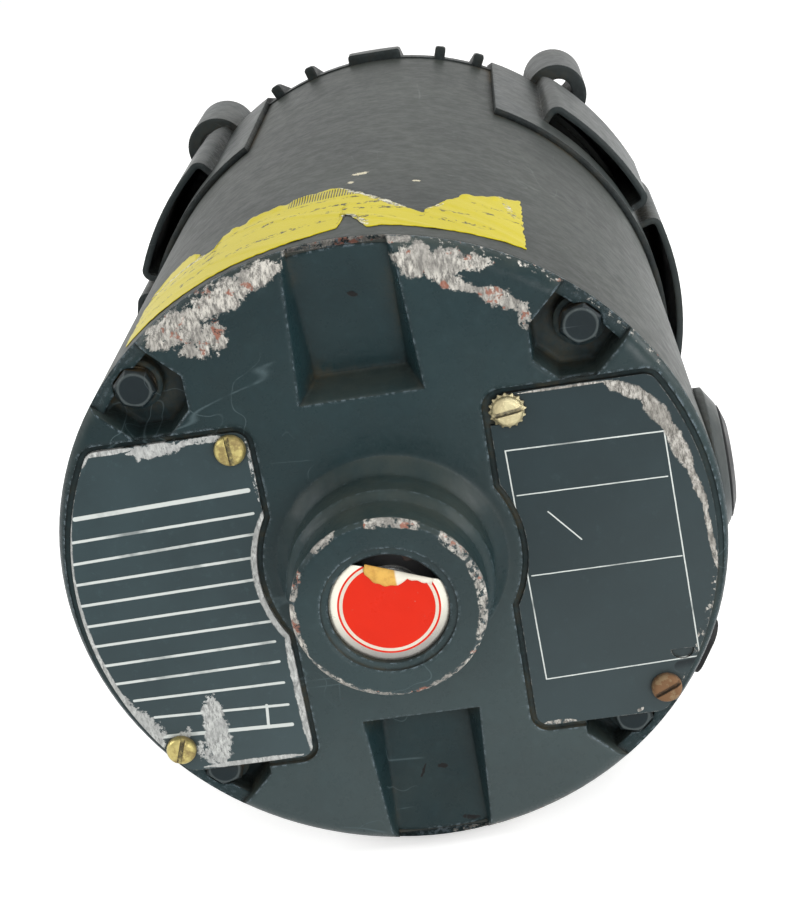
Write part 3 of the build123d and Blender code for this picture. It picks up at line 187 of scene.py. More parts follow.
# Worn edges and shaded corners: the edge mask follows the outer edges of a solid; the dirt-and-shade mask follows
# its inner corners, where painted shade and dirt darken the colour
wear_sizes = [("Edge", 0.0008), ("Corner", 0.006), ("Break", 900.0)]
wear_and_shade, wear_in, wear_out = new_group("edge_wear_and_corner_shade", wear_sizes, ["Edge", "Dirt and shade"])
rounded = made("Bevel", {"Radius": wear_in["Edge"]}, samples=6)
turned_away = minus(1.0, arrow("DOT_PRODUCT", rounded, put("NewGeometry").outputs["Normal"]))
openness = made("AmbientOcclusion", {"Distance": wear_in["Corner"]}, "AO", samples=6, only_local=False)
rubbed = cloud(wear_in["Break"], 5.0, 0.65)
edge_line = window(turned_away, 0.03, 0.2)
edge_line = times(edge_line, window(openness, 0.86, 0.97))
feed(wear_out["Edge"], times(edge_line, window(rubbed, 0.47, 0.6)))
# Painted shade and dirt: ambient occlusion marks where the inner corners close in
corner_dirt_and_shade = times(window(openness, 0.92, 0.35), window(rubbed, 0.25, 0.6))
feed(wear_out["Dirt and shade"], corner_dirt_and_shade)

# Dust: lies on what faces up, in soft patches
dust, dust_in, dust_out = new_group("settled_dust", [("Scale", 35.0), ("Side", 0.15)], ["Mask"])
facing = split(own_normal())
lying = window(facing[2], -0.1, 0.9, dust_in["Side"], 1.0)
patches = window(cloud(dust_in["Scale"], 6.0, 0.7), 0.32, 0.72, 0.25, 1.0)
feed(dust_out["Mask"], times(lying, patches))


def start(name, roughness=0.5, metallic=0.0, coat=0.0, specular=0.5):
    """A new finish: its material, whose tree is opened, and its surface shader."""
    finish = bpy.data.materials.new(name)
    finish.use_nodes = True
    open_tree(finish.node_tree)
    surface = tree.nodes["Principled BSDF"]
    for label, value in (
        ("Roughness", roughness), ("Metallic", metallic), ("Specular IOR Level", specular),
        ("Coat Weight", coat), ("Coat Roughness", 0.25),
    ):
        surface.inputs[label].default_value = value
    return finish, surface


def paint(surface, colour, roughness=None, metallic=None):
    """Feeds the surface shader what changes over the surface."""
    feed(surface.inputs["Base Color"], colour)
    feed(surface.inputs["Roughness"], roughness)
    feed(surface.inputs["Metallic"], metallic)


def relief(surface, height, strength, distance, soften=0.0):
    """Bump on the surface shader, over a slightly rounded edge where soften is given."""
    edge = made("Bevel", {"Radius": soften}, samples=4) if soften else None
    bump = {"Height": height, "Strength": strength, "Distance": distance, "Normal": edge}
    feed(surface.inputs["Normal"], made("Bump", bump))


def worn_and_shaded(edge, corner, grain):
    """The edge mask and the mask of painted shade and soiling in the corners, for edges and corners of these sizes.
    """
    return apply_group(wear_and_shade, Edge=edge, Corner=corner, Break=grain)


def bare_metal(name, colour, stain, roughness, stretch, grain, amount=0.35, soften=0.0003):
    """Uncoated metal: tool marks stretched along one direction, tarnish in patches, painted shade and soiling
    darkening the corners.
    """
    finish, surface = start(name, metallic=1.0)
    marks = cloud(grain, 3.0, 0.6, at=place(stretch))
    patches = window(cloud(160.0, 6.0, 0.7), 0.5, 0.72)
    masks = worn_and_shaded(0.0004, 0.003, 1200.0)
    tone = cover(times(marks, 0.5), colour, [c * 0.62 for c in colour])
    tone = cover(times(patches, amount), tone, stain)
    # Painted shade and soiling: the corners darkened towards brown-grey
    tone = cover(times(masks["Dirt and shade"], 0.6), tone, (0.06, 0.05, 0.04))
    paint(
        surface, tone, window(plus(marks, patches), 0.2, 1.6, roughness * 0.75, roughness * 1.5),
        window(plus(times(patches, amount), masks["Dirt and shade"]), 0.1, 1.0, 1.0, 0.35),
    )
    relief(surface, marks, 0.35, 0.00012, soften)
    return finish


def dress(finish, *names):
    """Gives a finish to the frame's own solids."""
    for name in names:
        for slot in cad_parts[name].material_slots:
            slot.material = finish


dress(
    bare_metal("ground_shaft", (0.56, 0.56, 0.55), (0.30, 0.20, 0.12), 0.26, (0.4, 14.0, 0.4), 260.0, 0.3),
    "shaft",
)
dress(
    bare_metal("drawn_key", (0.40, 0.40, 0.40), (0.20, 0.14, 0.10), 0.4, (9.0, 0.6, 9.0), 300.0, 0.35),
    "shaft_key",
)

# Rotor core and stator core: stacks of thin punched electrical steel sheets, pressed together on their seats.
# The cut edges show as fine rings along the stack, dark from the oven, with a little flash rust.


def stacked_sheets(name, colour, rust):
    finish, surface = start(name, roughness=0.45, metallic=0.9)
    rings = wave("BANDS", "Y", Scale=320.0, Distortion=0.4)
    speckle = window(cloud(420.0, 5.0, 0.7), 0.56, 0.7)
    tone = cover(rings, [c * 0.6 for c in colour], colour)
    tone = cover(times(speckle, 0.5), tone, rust)
    paint(surface, tone, window(speckle, 0.0, 1.0, 0.38, 0.7))
    relief(surface, rings, 0.5, 0.0001)
    return finish


dress(stacked_sheets("punched_sheets", (0.24, 0.25, 0.27), (0.22, 0.11, 0.05)), "rotor_core", "stator_core")

# Rotor cage: aluminium cast round the core under pressure, bars, end rings and fan blades in one piece.
# A grey matt casting skin with flow marks, and bright turned rims.


def cast_aluminium(name):
    finish, surface = start(name, roughness=0.5, metallic=0.95)
    skin = cloud(700.0, 4.0, 0.6)
    flow = cloud(90.0, 5.0, 0.6, distortion=1.2)
    masks = worn_and_shaded(0.0005, 0.005, 700.0)
    tone = cover(flow, (0.42, 0.42, 0.43), (0.60, 0.60, 0.61))
    tone = cover(masks["Edge"], tone, (0.75, 0.75, 0.76))
    # Painted shade and soiling: the corners darkened
    tone = cover(masks["Dirt and shade"], tone, (0.10, 0.09, 0.08))
    paint(surface, tone, window(flow, 0.3, 0.7, 0.4, 0.62))
    relief(surface, skin, 0.4, 0.0002, 0.0004)
    return finish


dress(cast_aluminium("rotor_casting"), "rotor_cage")

# Ball bearings: hardened rings and balls, ground and polished; cages and side shields pressed from bright sheet.
# The rings keep a mirror finish under a film of grease.
dress(
    bare_metal("polished_rings", (0.62, 0.62, 0.63), (0.34, 0.26, 0.16), 0.14, (0.5, 10.0, 0.5), 500.0, 0.2),
    "rear_bearing_outer_race", "rear_bearing_inner_race", "front_bearing_outer_race", "front_bearing_inner_race",
)
dress(
    bare_metal("polished_balls", (0.68, 0.68, 0.70), (0.40, 0.32, 0.20), 0.08, (1.0, 1.0, 1.0), 900.0, 0.12),
    "rear_bearing_balls", "front_bearing_balls",
)
dress(
    bare_metal("pressed_sheet", (0.50, 0.50, 0.51), (0.30, 0.22, 0.12), 0.34, (1.0, 5.0, 1.0), 420.0, 0.3),
    "rear_bearing_cage", "front_bearing_cage", "rear_bearing_shields", "front_bearing_shields",
)

# Preload spring and snap ring: tempered spring steel, oil-blackened.
# Bearing retainer and its screws: zinc-plated mild steel, dulled to a patchy grey.
dress(
    bare_metal("tempered_spring", (0.20, 0.20, 0.22), (0.12, 0.08, 0.06), 0.32, (1.0, 6.0, 1.0), 350.0, 0.4),
    "preload_spring", "snap_ring",
)
dress(
    bare_metal("dull_zinc", (0.52, 0.53, 0.53), (0.40, 0.38, 0.33), 0.42, (1.0, 1.0, 1.0), 260.0, 0.6),
    "front_bearing_retainer", "retainer_screws", "board_screws",
)

# Winding: enamelled copper wire in coils, laid in the slots, laced at the end turns and dipped in varnish.
# The strands run round the bore; the varnish is glossy and pools amber between them.


def varnished_wire(name):
    finish, surface = start(name, roughness=0.3, coat=0.6)
    strands = wave("RINGS", "Y", Scale=170.0, Distortion=2.2, Detail=2.0, Detail_Scale=0.6)
    pools = cloud(130.0, 4.0, 0.6)
    tone = cover(strands, (0.14, 0.045, 0.016), (0.42, 0.17, 0.07))
    tone = cover(window(pools, 0.5, 0.75), tone, (0.20, 0.09, 0.03))
    paint(surface, tone, window(pools, 0.3, 0.7, 0.42, 0.18))
    relief(surface, strands, 0.8, 0.0004)
    return finish


dress(varnished_wire("varnished_copper_wire"), "stator_winding")


def fibre(name, colour, shade, scale, stretch, gloss, depth=0.00025):
    """Fibrous or woven stock: pressed board, laminate and braid."""
    finish, surface = start(name, roughness=gloss)
    hairs = cloud(scale, 5.0, 0.65, at=place(stretch))
    blotch = cloud(60.0, 3.0)
    masks = worn_and_shaded(0.0003, 0.002, 900.0)
    tone = cover(hairs, shade, colour)
    tone = cover(window(blotch, 0.45, 0.75, 0.0, 0.5), tone, shade)
    # Painted shade and soiling: the corners darkened
    tone = cover(times(masks["Dirt and shade"], 0.5), tone, (0.05, 0.04, 0.03))
    paint(surface, tone, window(hairs, 0.3, 0.7, gloss * 0.85, gloss * 1.15))
    relief(surface, hairs, 0.5, depth)
    return finish


# Slot wedges: strips of pressed insulating board that close each slot.
# Terminal board: brown laminate sheet, drilled, with a satin resin face.
# Leads: stranded wire in varnished braid, from the winding to the studs.
dress(fibre("pressed_board", (0.62, 0.55, 0.40), (0.45, 0.36, 0.22), 500.0, (1.0, 0.3, 1.0), 0.7), "slot_wedges")
laminate = fibre("brown_laminate", (0.16, 0.075, 0.035), (0.09, 0.04, 0.02), 420.0, (1.0, 1.0, 0.3), 0.38)
dress(laminate, "terminal_board")
braid = fibre("varnished_braid", (0.30, 0.24, 0.15), (0.16, 0.12, 0.08), 1400.0, (1.0, 0.4, 1.0), 0.55, 0.0004)
dress(braid, "lead_wires")

# Studs and nuts: turned brass, browned where handled.
# Ground screw: steel with a green lacquer, chipped at its corners.
dress(
    bare_metal("turned_brass", (0.62, 0.43, 0.17), (0.24, 0.14, 0.06), 0.28, (1.0, 6.0, 1.0), 420.0, 0.5),
    "terminal_studs", "terminal_nuts",
)


def lacquered(name, colour, bare):
    finish, surface = start(name, roughness=0.35)
    masks = worn_and_shaded(0.0004, 0.003, 1100.0)
    tone = cover(cloud(300.0), [c * 0.8 for c in colour], colour)
    tone = cover(masks["Edge"], tone, bare)
    # Painted shade and soiling: the corners darkened
    tone = cover(masks["Dirt and shade"], tone, (0.04, 0.04, 0.03))
    paint(surface, tone, metallic=masks["Edge"])
    relief(surface, cloud(900.0), 0.2, 0.0001, 0.0003)
    return finish


dress(lacquered("green_lacquer", (0.04, 0.20, 0.07), (0.5, 0.5, 0.48)), "ground_screw")

# Enamel of the castings and the shell: dark blue-grey, sprayed over primer, satin, with a faint orange peel.
# It is rubbed pale along the edges, darkened in the corners by painted shade and dirt, dusty on top, and scraped to
# bare metal in known places.


def tapered(share, taper):
    """1 in the middle of a scrape, less by the taper at both ends."""
    to_end = sums("POWER", sums("ABSOLUTE", sums("MULTIPLY_ADD", share, 2.0, -1.0)), 3.0)
    return minus(1.0, times(to_end, taper))


def unbroken(scrape):
    """1 where no gap tears a scrape open."""
    return window(scrape["Patch"], scrape["Gaps"], plus(scrape["Gaps"], 0.05))


# A scrape along a straight run between two points, seen square on; Seen picks the two directions that count.
# Shove and Patch come from one pair of noises in each material, and tear its outline and its inside
run, run_in, run_out = new_group(
    "scraped_run",
    [
        ("From", (0.0, 0.0, 0.0)), ("To", (0.0, 0.0, 0.0)), ("Seen", (1.0, 0.0, 1.0)), ("Width", 0.001),
        ("Taper", 0.7), ("Ragged", 0.001), ("Gaps", 0.5), ("Shove", (0.0, 0.0, 0.0)), ("Patch", 0.5),
    ],
    ["Mask"],
)
seen = run_in["Seen"]
flat = arrow("MULTIPLY", own_place(), seen)
shove = arrow("MULTIPLY", run_in["Shove"], seen)
flat = arrow("ADD", flat, arrow("SCALE", shove, scale=run_in["Ragged"]))
along = arrow("SUBTRACT", run_in["To"], run_in["From"])
reach = arrow("SUBTRACT", flat, run_in["From"])
share = sums("DIVIDE", arrow("DOT_PRODUCT", reach, along), arrow("DOT_PRODUCT", along, along), clamp=True)
off = arrow("LENGTH", arrow("SUBTRACT", reach, arrow("SCALE", along, scale=share)))
narrowed = times(tapered(share, run_in["Taper"]), run_in["Width"])
feed(run_out["Mask"], times(window(off, narrowed, times(narrowed, 0.75)), unbroken(run_in)))

# A scrape that follows the rim: part of a ring between two radii and two clock angles, in degrees,
# on surfaces further back than a station
arc, arc_in, arc_out = new_group(
    "scraped_arc",
    [
        ("Inner", 0.05), ("Outer", 0.07), ("Start", 0.0), ("End", 10.0), ("Behind", 0.0),
        ("Taper", 0.6), ("Ragged", 0.002), ("Gaps", 0.4), ("Shove", (0.0, 0.0, 0.0)), ("Patch", 0.5),
    ],
    ["Mask"],
)
whole_place = own_place()
spot = split(arrow("ADD", whole_place, arrow("SCALE", arc_in["Shove"], scale=arc_in["Ragged"])))
clock = times(sums("ARCTAN2", spot[0], spot[2]), math.degrees(1.0))
share = sums("DIVIDE", minus(clock, arc_in["Start"]), minus(arc_in["End"], arc_in["Start"]), clamp=True)
narrowed = times(tapered(share, arc_in["Taper"]), times(minus(arc_in["Outer"], arc_in["Inner"]), 0.5))
middle = times(plus(arc_in["Outer"], arc_in["Inner"]), 0.5)
off = sums("ABSOLUTE", minus(length(spot[0], spot[2]), middle))
across = window(off, plus(narrowed, 0.0003), narrowed)
first_end = window(clock, arc_in["Start"], plus(arc_in["Start"], 0.6))
last_end = window(clock, plus(arc_in["End"], 0.6), arc_in["End"])
whole = times(across, times(first_end, last_end))
far_back = window(split(whole_place)[1], plus(arc_in["Behind"], 0.0006), arc_in["Behind"])
feed(arc_out["Mask"], times(times(whole, far_back), unbroken(arc_in)))

# Fine scratches: hair lines where a stretched noise crosses its middle value, only here and there
hair, hair_in, hair_out = new_group(
    "hair_scratches",
    [("Scale", 60.0), ("Stretch", (1.0, 0.1, 1.0)), ("Turn", (0.0, 0.0, 0.0)), ("Thickness", 0.006)],
    ["Mask"],
)
stretched = place(hair_in["Stretch"], hair_in["Turn"])
waves = cloud(hair_in["Scale"], 2.0, 0.5, at=stretched)
thin = window(sums("ABSOLUTE", minus(waves, 0.5)), hair_in["Thickness"], 0.0)
sparse = window(cloud(38.0, 4.0, 0.6), 0.54, 0.62)
feed(hair_out["Mask"], times(thin, sparse))


def most(masks):
    """The largest of several masks."""
    return functools.reduce(larger, masks)


def torn():
    """The pair of noises that tears the outline and the inside of every scrape in a material."""
    shove = arrow("SUBTRACT", cloud(330.0, 6.0, 0.76, colour=True), (0.5, 0.5, 0.5))
    return {"Shove": shove, "Patch": cloud(780.0, 5.0, 0.75)}


# Painted light on what faces the rear: a paler grey-blue that grows towards the lower right and fades out towards
# the upper left
lit_side, lit_side_in, lit_side_out = new_group("painted_light_lower_right", [("Amount", 0.3), ("Reach", -0.2170)], ["Mask"])
lie = split(own_place())
lighter_lower_right = minus(times(lie[0], 0.45), lie[2])
lighter_lower_right = plus(lighter_lower_right, times(cloud(24.0, 5.0, 0.6), 0.04))
lighter_lower_right = window(lighter_lower_right, -0.03, 0.10, 0.0, lit_side_in["Amount"])
facing = split(own_normal())
to_rear = window(facing[1], -0.6, -0.95)
in_reach = window(lie[1], lit_side_in["Reach"], minus(lit_side_in["Reach"], 0.001))
feed(lit_side_out["Mask"], times(lighter_lower_right, times(to_rear, in_reach)))


def joined(total, mask):
    """The larger of a mask and what was gathered before it, so that few values stay open."""
    return mask if total is None else larger(total, mask)


def runs(tear, lines, seen=(1.0, 0.0, 1.0), taper=0.75, total=None):
    """One mask for straight scrapes, each given as its two ends, half width, ragged and gaps, in millimetres."""
    for a0, b0, a1, b1, width, ragged, gaps in lines:
        ends = [(a / 1000, b * seen[1] / 1000, b * seen[2] / 1000) for a, b in ((a0, b0), (a1, b1))]
        total = joined(total, apply_group(
            run, From=ends[0], To=ends[1], Seen=seen, Width=width / 1000, Taper=taper,
            Ragged=ragged / 1000, Gaps=gaps, **tear,
        )["Mask"])
    return total


def arcs(tear, bands, total=None):
    """One mask for scrapes along a rim, each (inner, outer, start, end, behind, ragged, gaps), in mm and degrees."""
    for inner, outer, first, last, behind, ragged, gaps in bands:
        total = joined(total, apply_group(
            arc, Inner=inner / 1000, Outer=outer / 1000, Start=float(first), End=float(last),
            Behind=behind / 1000, Ragged=ragged / 1000, Gaps=gaps, **tear,
        )["Mask"])
    return total


def bared(dark=(0.13, 0.125, 0.115), light=(0.60, 0.575, 0.52), primer=0.85):
    """Metal laid bare by a blow: torn, streaky, grey to cream, with reddish primer left here and there."""
    streaks = cloud(1300.0, 5.0, 0.8, at=place((1.0, 1.0, 0.35), (0.0, 0.5, 0.0)))
    tone = cover(window(streaks, 0.38, 0.62), dark, light)
    tone = cover(window(cloud(150.0, 4.0, 0.6), 0.42, 0.60, 0.0, 0.6), tone, [c * 1.5 for c in dark])
    if primer:
        tone = cover(window(cloud(210.0, 4.0, 0.65), 0.58, 0.63, 0.0, primer), tone, (0.26, 0.09, 0.055))
    return tone


def enamel(
    name, colour, dirt_and_shade, dusty, rough, edge_size=0.0008, soften=0.0008, lines=(), bands=(), top_lines=(), pits=(),
    edges=0.8, dust_tone=(0.26, 0.25, 0.22), painted_light=0.0, head_ring=None, corner=0.007, gloss=0.19,
    grime_and_shade=((0.016, 0.014, 0.011), (0.085, 0.060, 0.030)), rub_and_highlight_tone=(0.20, 0.22, 0.21),
):
    """Sprayed enamel on a casting or on sheet, with painted shade and soiling in its corners, rubbed edges that can
    also carry a painted highlight, painted light where asked, hair scratches and scrapes.
    """
    finish, surface = start(name, roughness=rough, specular=gloss)
    tear = torn() if lines or bands or top_lines or pits else None
    masks = worn_and_shaded(edge_size, corner, 850.0)
    broad = cloud(22.0, 5.0, 0.6)
    fine = cloud(260.0, 6.0, 0.7)
    tone = cover(window(broad, 0.3, 0.7), [c * 0.8 for c in colour], [c * 1.2 for c in colour])
    tone = cover(window(fine, 0.5, 0.8, 0.0, 0.3), tone, [c * 1.8 + 0.012 for c in colour])
    if painted_light:
        # Painted light: the faces that look to the rear made paler towards the lower right
        tone = cover(apply_group(lit_side, Amount=painted_light)["Mask"], tone, (0.125, 0.150, 0.148))
    powder = times(apply_group(dust, Scale=45.0, Side=0.12)["Mask"], dusty)
    tone = cover(powder, tone, dust_tone)
    # Painted shade and dirt in the corners: near-black to brown tones laid in where the corners close in
    grime_and_shade_tone = cover(window(cloud(70.0, 4.0, 0.6), 0.45, 0.62), *grime_and_shade)
    tone = cover(times(masks["Dirt and shade"], dirt_and_shade, clamp=True), tone, grime_and_shade_tone)
    # Pale rubbed edges; where the edge tone is bluish, it is also a painted highlight
    tone = cover(times(masks["Edge"], edges), tone, rub_and_highlight_tone)
    hairs = most([
        apply_group(hair, Scale=50.0, Stretch=(1.0, 0.12, 1.0), Turn=(0.3, 0.0, 0.5), Thickness=0.004)["Mask"],
        apply_group(hair, Scale=44.0, Stretch=(0.14, 1.0, 1.0), Turn=(0.0, 0.6, 0.2), Thickness=0.004)["Mask"],
    ])
    tone = cover(times(hairs, 0.4), tone, [c * 3 + 0.08 for c in colour])
    scraped = arcs(tear, bands, runs(tear, lines))
    dulled = plus(times(powder, 0.35), times(masks["Dirt and shade"], 0.3))
    peel = plus(cloud(520.0, 2.0, 0.4), times(fine, 0.25))
    if scraped:
        tone = cover(scraped, tone, bared())
        dulled = plus(dulled, times(scraped, 0.25))
        peel = minus(peel, times(scraped, cloud(1500.0, 3.0, 0.8)))
    if top_lines:
        crumbs = runs(tear, top_lines, (1.0, 1.0, 0.0))
        tone = cover(crumbs, tone, cover(fine, (0.42, 0.36, 0.22), (0.70, 0.66, 0.52)))
        peel = plus(peel, times(crumbs, 3.0))
    if pits:
        sunk = runs(tear, pits, taper=0.4)
        tone = cover(sunk, tone, (0.006, 0.006, 0.006))
        peel = minus(peel, times(sunk, 3.0))
    if head_ring:
        # Painted highlight on the chamfer circle of a hex head, raised a little by the bump: the four heads fall on
        # one another when both directions are folded
        folded = split(arrow("ABSOLUTE", own_place()))
        from_head = length(minus(folded[0], head_ring[0]), minus(folded[2], head_ring[0]))
        chamfer_highlight = window(sums("ABSOLUTE", minus(from_head, head_ring[1])), 0.00045, 0.0001)
        tone = cover(times(chamfer_highlight, 0.45), tone, (0.10, 0.12, 0.12))
        peel = plus(peel, times(chamfer_highlight, 2.0))
    feed(surface.inputs["Base Color"], tone)
    dulled = plus(dulled, window(fine, 0.3, 0.8, -0.05, 0.1))
    feed(surface.inputs["Roughness"], plus(dulled, rough, clamp=True))
    relief(surface, peel, 0.28, 0.00025, soften)
    return finish


# Drive end shield: die casting with the C-face, four ears, ribs, side skirts and vent hoods.
# Painted shade: near-black tones darken everything within about 12 mm of an inner corner, with a little dirt
drive_finish = enamel(
    "enamel_drive_end", (0.015, 0.023, 0.024), 1.0, 0.20, 0.34, edge_size=0.0009, soften=0.0014, edges=0.6,
    corner=0.012, grime_and_shade=((0.005, 0.006, 0.006), (0.030, 0.027, 0.020)),
)
dress(drive_finish, "drive_end_shield")

# Shell: rolled steel tube, the same enamel, greyer with dust and handling, with a few crumbs of dirt stuck on top.
# The conduit boss is welded on and painted with it.
shell_finish = enamel(
    "enamel_shell", (0.019, 0.024, 0.0215), 0.9, 0.09, 0.44, edge_size=0.0004, dust_tone=(0.24, 0.245, 0.215),
    top_lines=[
        (1.4, -165.8, 4.2, -165.2, 1.2, 5.0, 0.40), (0.0, -172.8, 1.6, -172.2, 0.8, 4.0, 0.40),
        (14.6, -173.4, 16.2, -172.8, 0.8, 3.0, 0.36),
    ],
)
dress(shell_finish, "shell")
dress(drive_finish, "conduit_boss")

# Rear end shield: die casting with a stepped hub, end pockets, bolt pockets and two recesses for plates.
# The upper rim is scraped to bare metal on both sides of the top pocket, and the hub is chipped all round.
# Painted light: the bluish pale edges are a painted highlight over the rubbed wear, the rear faces are paler towards
# the lower right, and the corners carry painted shade with brown dirt
rear_finish = enamel(
    "enamel_rear_end", (0.009, 0.024, 0.028), 0.75, 0.14, 0.29, edge_size=0.0013, soften=0.0018, edges=0.9,
    dust_tone=(0.21, 0.185, 0.12), painted_light=0.30, gloss=0.15, corner=0.0055, rub_and_highlight_tone=(0.17, 0.22, 0.25),
    grime_and_shade=((0.009, 0.010, 0.009), (0.060, 0.047, 0.024)),
    bands=[
        (69.8, 71.6, -9, 12, -150, 1.6, 0.42), (70.0, 71.6, 12, 60, -150, 1.6, 0.56),
        (70.0, 71.6, 150, 178, -150, 2.0, 0.52),
        (18.5, 20.6, -6, 27, -239.0, 2.2, 0.42), (19.0, 21.0, -42, -24, -238.8, 2.6, 0.44),
        (18.8, 21.2, -76, -56, -238.6, 2.6, 0.45), (18.7, 21.2, -114, -78, -238.6, 3.0, 0.42),
        (18.9, 21.0, -180, -112, -238.0, 2.6, 0.45), (19.0, 21.0, 122, 180, -238.0, 2.6, 0.46),
        (18.4, 20.4, 40, 62, -238.8, 1.8, 0.45), (18.2, 20.2, 64, 120, -238.8, 1.6, 0.46),
    ],
    lines=[
        (-11.5, 68.2, -21.0, 64.6, 2.7, 7.0, 0.28), (-18.5, 65.4, -31.0, 60.4, 3.3, 8.0, 0.30),
        (-28.5, 60.4, -41.5, 55.4, 3.4, 8.0, 0.33), (-25.0, 56.2, -33.8, 53.4, 3.7, 9.0, 0.38),
        (11.5, 66.0, 19.0, 64.2, 3.7, 7.0, 0.28), (16.0, 64.8, 25.5, 62.6, 2.8, 7.0, 0.32),
        (23.0, 63.0, 30.5, 62.0, 1.6, 5.0, 0.38), (17.0, 61.9, 27.0, 56.9, 1.7, 6.0, 0.36),
        (25.0, 57.8, 35.5, 52.2, 1.9, 6.0, 0.36), (34.6, 52.4, 35.6, 47.0, 1.4, 5.0, 0.42),
    ],
    pits=[
        (0.7, 58.9, 2.3, 58.3, 0.7, 1.5, 0.1), (1.4, -54.8, 2.9, -55.0, 0.7, 1.8, 0.2),
        (-3.1, -57.0, -1.8, -54.2, 0.3, 1.4, 0.1), (5.2, -67.4, 8.4, -68.4, 0.7, 3.0, 0.46),
    ],
)
dress(rear_finish, "rear_end_shield")

# Through bolts with their washers: plated hex bolts, sprayed over with the motor and rubbed bare at their corners.
bolt_circle = 0.0651
bolt_finish = enamel(
    "enamel_bolts", (0.007, 0.014, 0.017), 1.0, 0.03, 0.36, gloss=0.14, edge_size=0.0005, soften=0.0006, edges=1.0,
    head_ring=(bolt_circle * math.sin(math.radians(45.0)), 0.0034),
)
dress(bolt_finish, "through_bolts", "through_bolt_washers")

# Nameplate: thin aluminium sheet printed dark grey and ruled with bare silver lines, with blank fields.
# The lower left corner and the upper edge are scraped, and the border is bare.
rules = [
    (-64.5, 19.8, -27.1, 20.9, 0.58), (-66.6, 14.5, -27.1, 15.5, 0.36), (-68.1, 9.4, -26.8, 10.8, 0.36),
    (-68.9, 4.5, -27.2, 5.4, 0.36), (-69.4, -0.6, -28.2, 0.2, 0.36), (-69.5, -5.7, -28.8, -5.0, 0.36),
    (-69.6, -10.7, -28.5, -10.2, 0.36), (-68.3, -15.7, -28.4, -15.2, 0.36), (-67.6, -20.5, -28.4, -20.2, 0.36),
    (-61.8, -25.2, -28.4, -25.5, 0.36), (-58.2, -30.0, -28.5, -31.1, 0.36), (-58.5, -35.1, -28.6, -36.2, 0.52),
    (-33.2, -30.6, -33.8, -36.2, 0.36),
]
plate_edge_left = [
    (68.1, 69.6, -122, -60, -150, 0.8, 0.30), (67.4, 69.0, -63, -57, -150, 0.8, 0.20),
    (27.6, 29.9, -140, -50, -150, 0.9, 0.24),
]


def printed_plate(name, colour, lines, scrapes, bands, rough, border, metal, painted_light, dent=None):
    """Printed sheet: ruled lines, a rubbed border, painted light towards the lower right, painted shade and soiling
    in the corners, scrapes down to the given dark and light metal.
    """
    finish, surface = start(name, roughness=rough, specular=0.16)
    tear = torn()
    masks = worn_and_shaded(0.0004, 0.004, 1000.0)
    broad = cloud(30.0, 5.0, 0.6)
    fine = cloud(420.0, 5.0, 0.7)
    tone = cover(window(broad, 0.3, 0.7), [c * 0.85 for c in colour], [c * 1.15 for c in colour])
    tone = cover(window(fine, 0.55, 0.8, 0.0, 0.3), tone, [c * 2.0 + 0.01 for c in colour])
    # Painted light: paler towards the lower right
    tone = cover(apply_group(lit_side, Amount=painted_light, Reach=-0.2160)["Mask"], tone, (0.125, 0.150, 0.152))
    ruled = runs(tear, [(*line, 0.15, 0.18) for line in lines], taper=0.0)
    ruled = times(ruled, window(cloud(90.0, 4.0, 0.6), 0.28, 0.5, 0.35, 1.0))
    tone = cover(ruled, tone, (0.52, 0.55, 0.53))
    # Painted shade and dirt: the corners darkened
    tone = cover(times(masks["Dirt and shade"], 0.9), tone, (0.020, 0.017, 0.012))
    tone = cover(times(masks["Edge"], border), tone, (0.40, 0.40, 0.37))
    scraped = arcs(tear, bands, runs(tear, scrapes))
    tone = cover(scraped, tone, bared(*metal, primer=0.0))
    height = minus(fine, times(scraped, cloud(1500.0, 3.0, 0.8)))
    if dent:
        # A knockout pressed a little way into the sheet and never opened; its upper side is painted dark as shade
        pressed = runs(tear, [dent], taper=0.0)
        dent_level = dent[1] / 1000
        shaded_upper_side = window(split(own_place())[2], dent_level - 0.0012, dent_level + 0.0012, 0.0, 0.8)
        tone = cover(times(pressed, shaded_upper_side), tone, (0.006, 0.009, 0.011))
        height = minus(height, times(pressed, 5.0))
    matt = plus(window(fine, 0.3, 0.7, rough - 0.05, rough + 0.08), times(masks["Dirt and shade"], 0.3), clamp=True)
    paint(surface, tone, matt, times(larger(ruled, scraped), 0.35))
    relief(surface, height, 0.2, 0.00015, 0.0003)
    return finish


nameplate_finish = printed_plate(
    "printed_nameplate", (0.026, 0.044, 0.049), rules,
    scrapes=[
        (-66.6, -21.0, -61.0, -36.0, 2.6, 7.0, 0.28), (-62.5, -27.5, -58.4, -37.5, 3.0, 8.0, 0.33),
        (-45.2, -26.5, -45.6, -43.8, 3.0, 6.0, 0.30), (-49.5, -37.5, -47.5, -43.5, 2.2, 6.0, 0.42),
        (-53.8, -38.4, -51.2, -33.6, 1.2, 5.0, 0.44), (-50.5, 32.7, -38.5, 32.9, 1.8, 5.0, 0.34),
        (-40.0, 33.4, -29.0, 33.4, 0.8, 2.0, 0.38), (-61.0, 33.6, -49.0, 33.8, 0.7, 1.0, 0.24),
        (-25.3, 18.0, -25.4, 32.5, 0.5, 1.0, 0.50), (-25.7, -13.5, -25.5, -43.4, 1.0, 1.4, 0.24),
        (-50.0, -44.2, -27.5, -44.2, 0.7, 1.0, 0.26),
    ],
    bands=plate_edge_left, rough=0.36, border=0.9, painted_light=0.22,
    metal=((0.20, 0.205, 0.20), (0.55, 0.56, 0.54)),
)
dress(nameplate_finish, "nameplate")

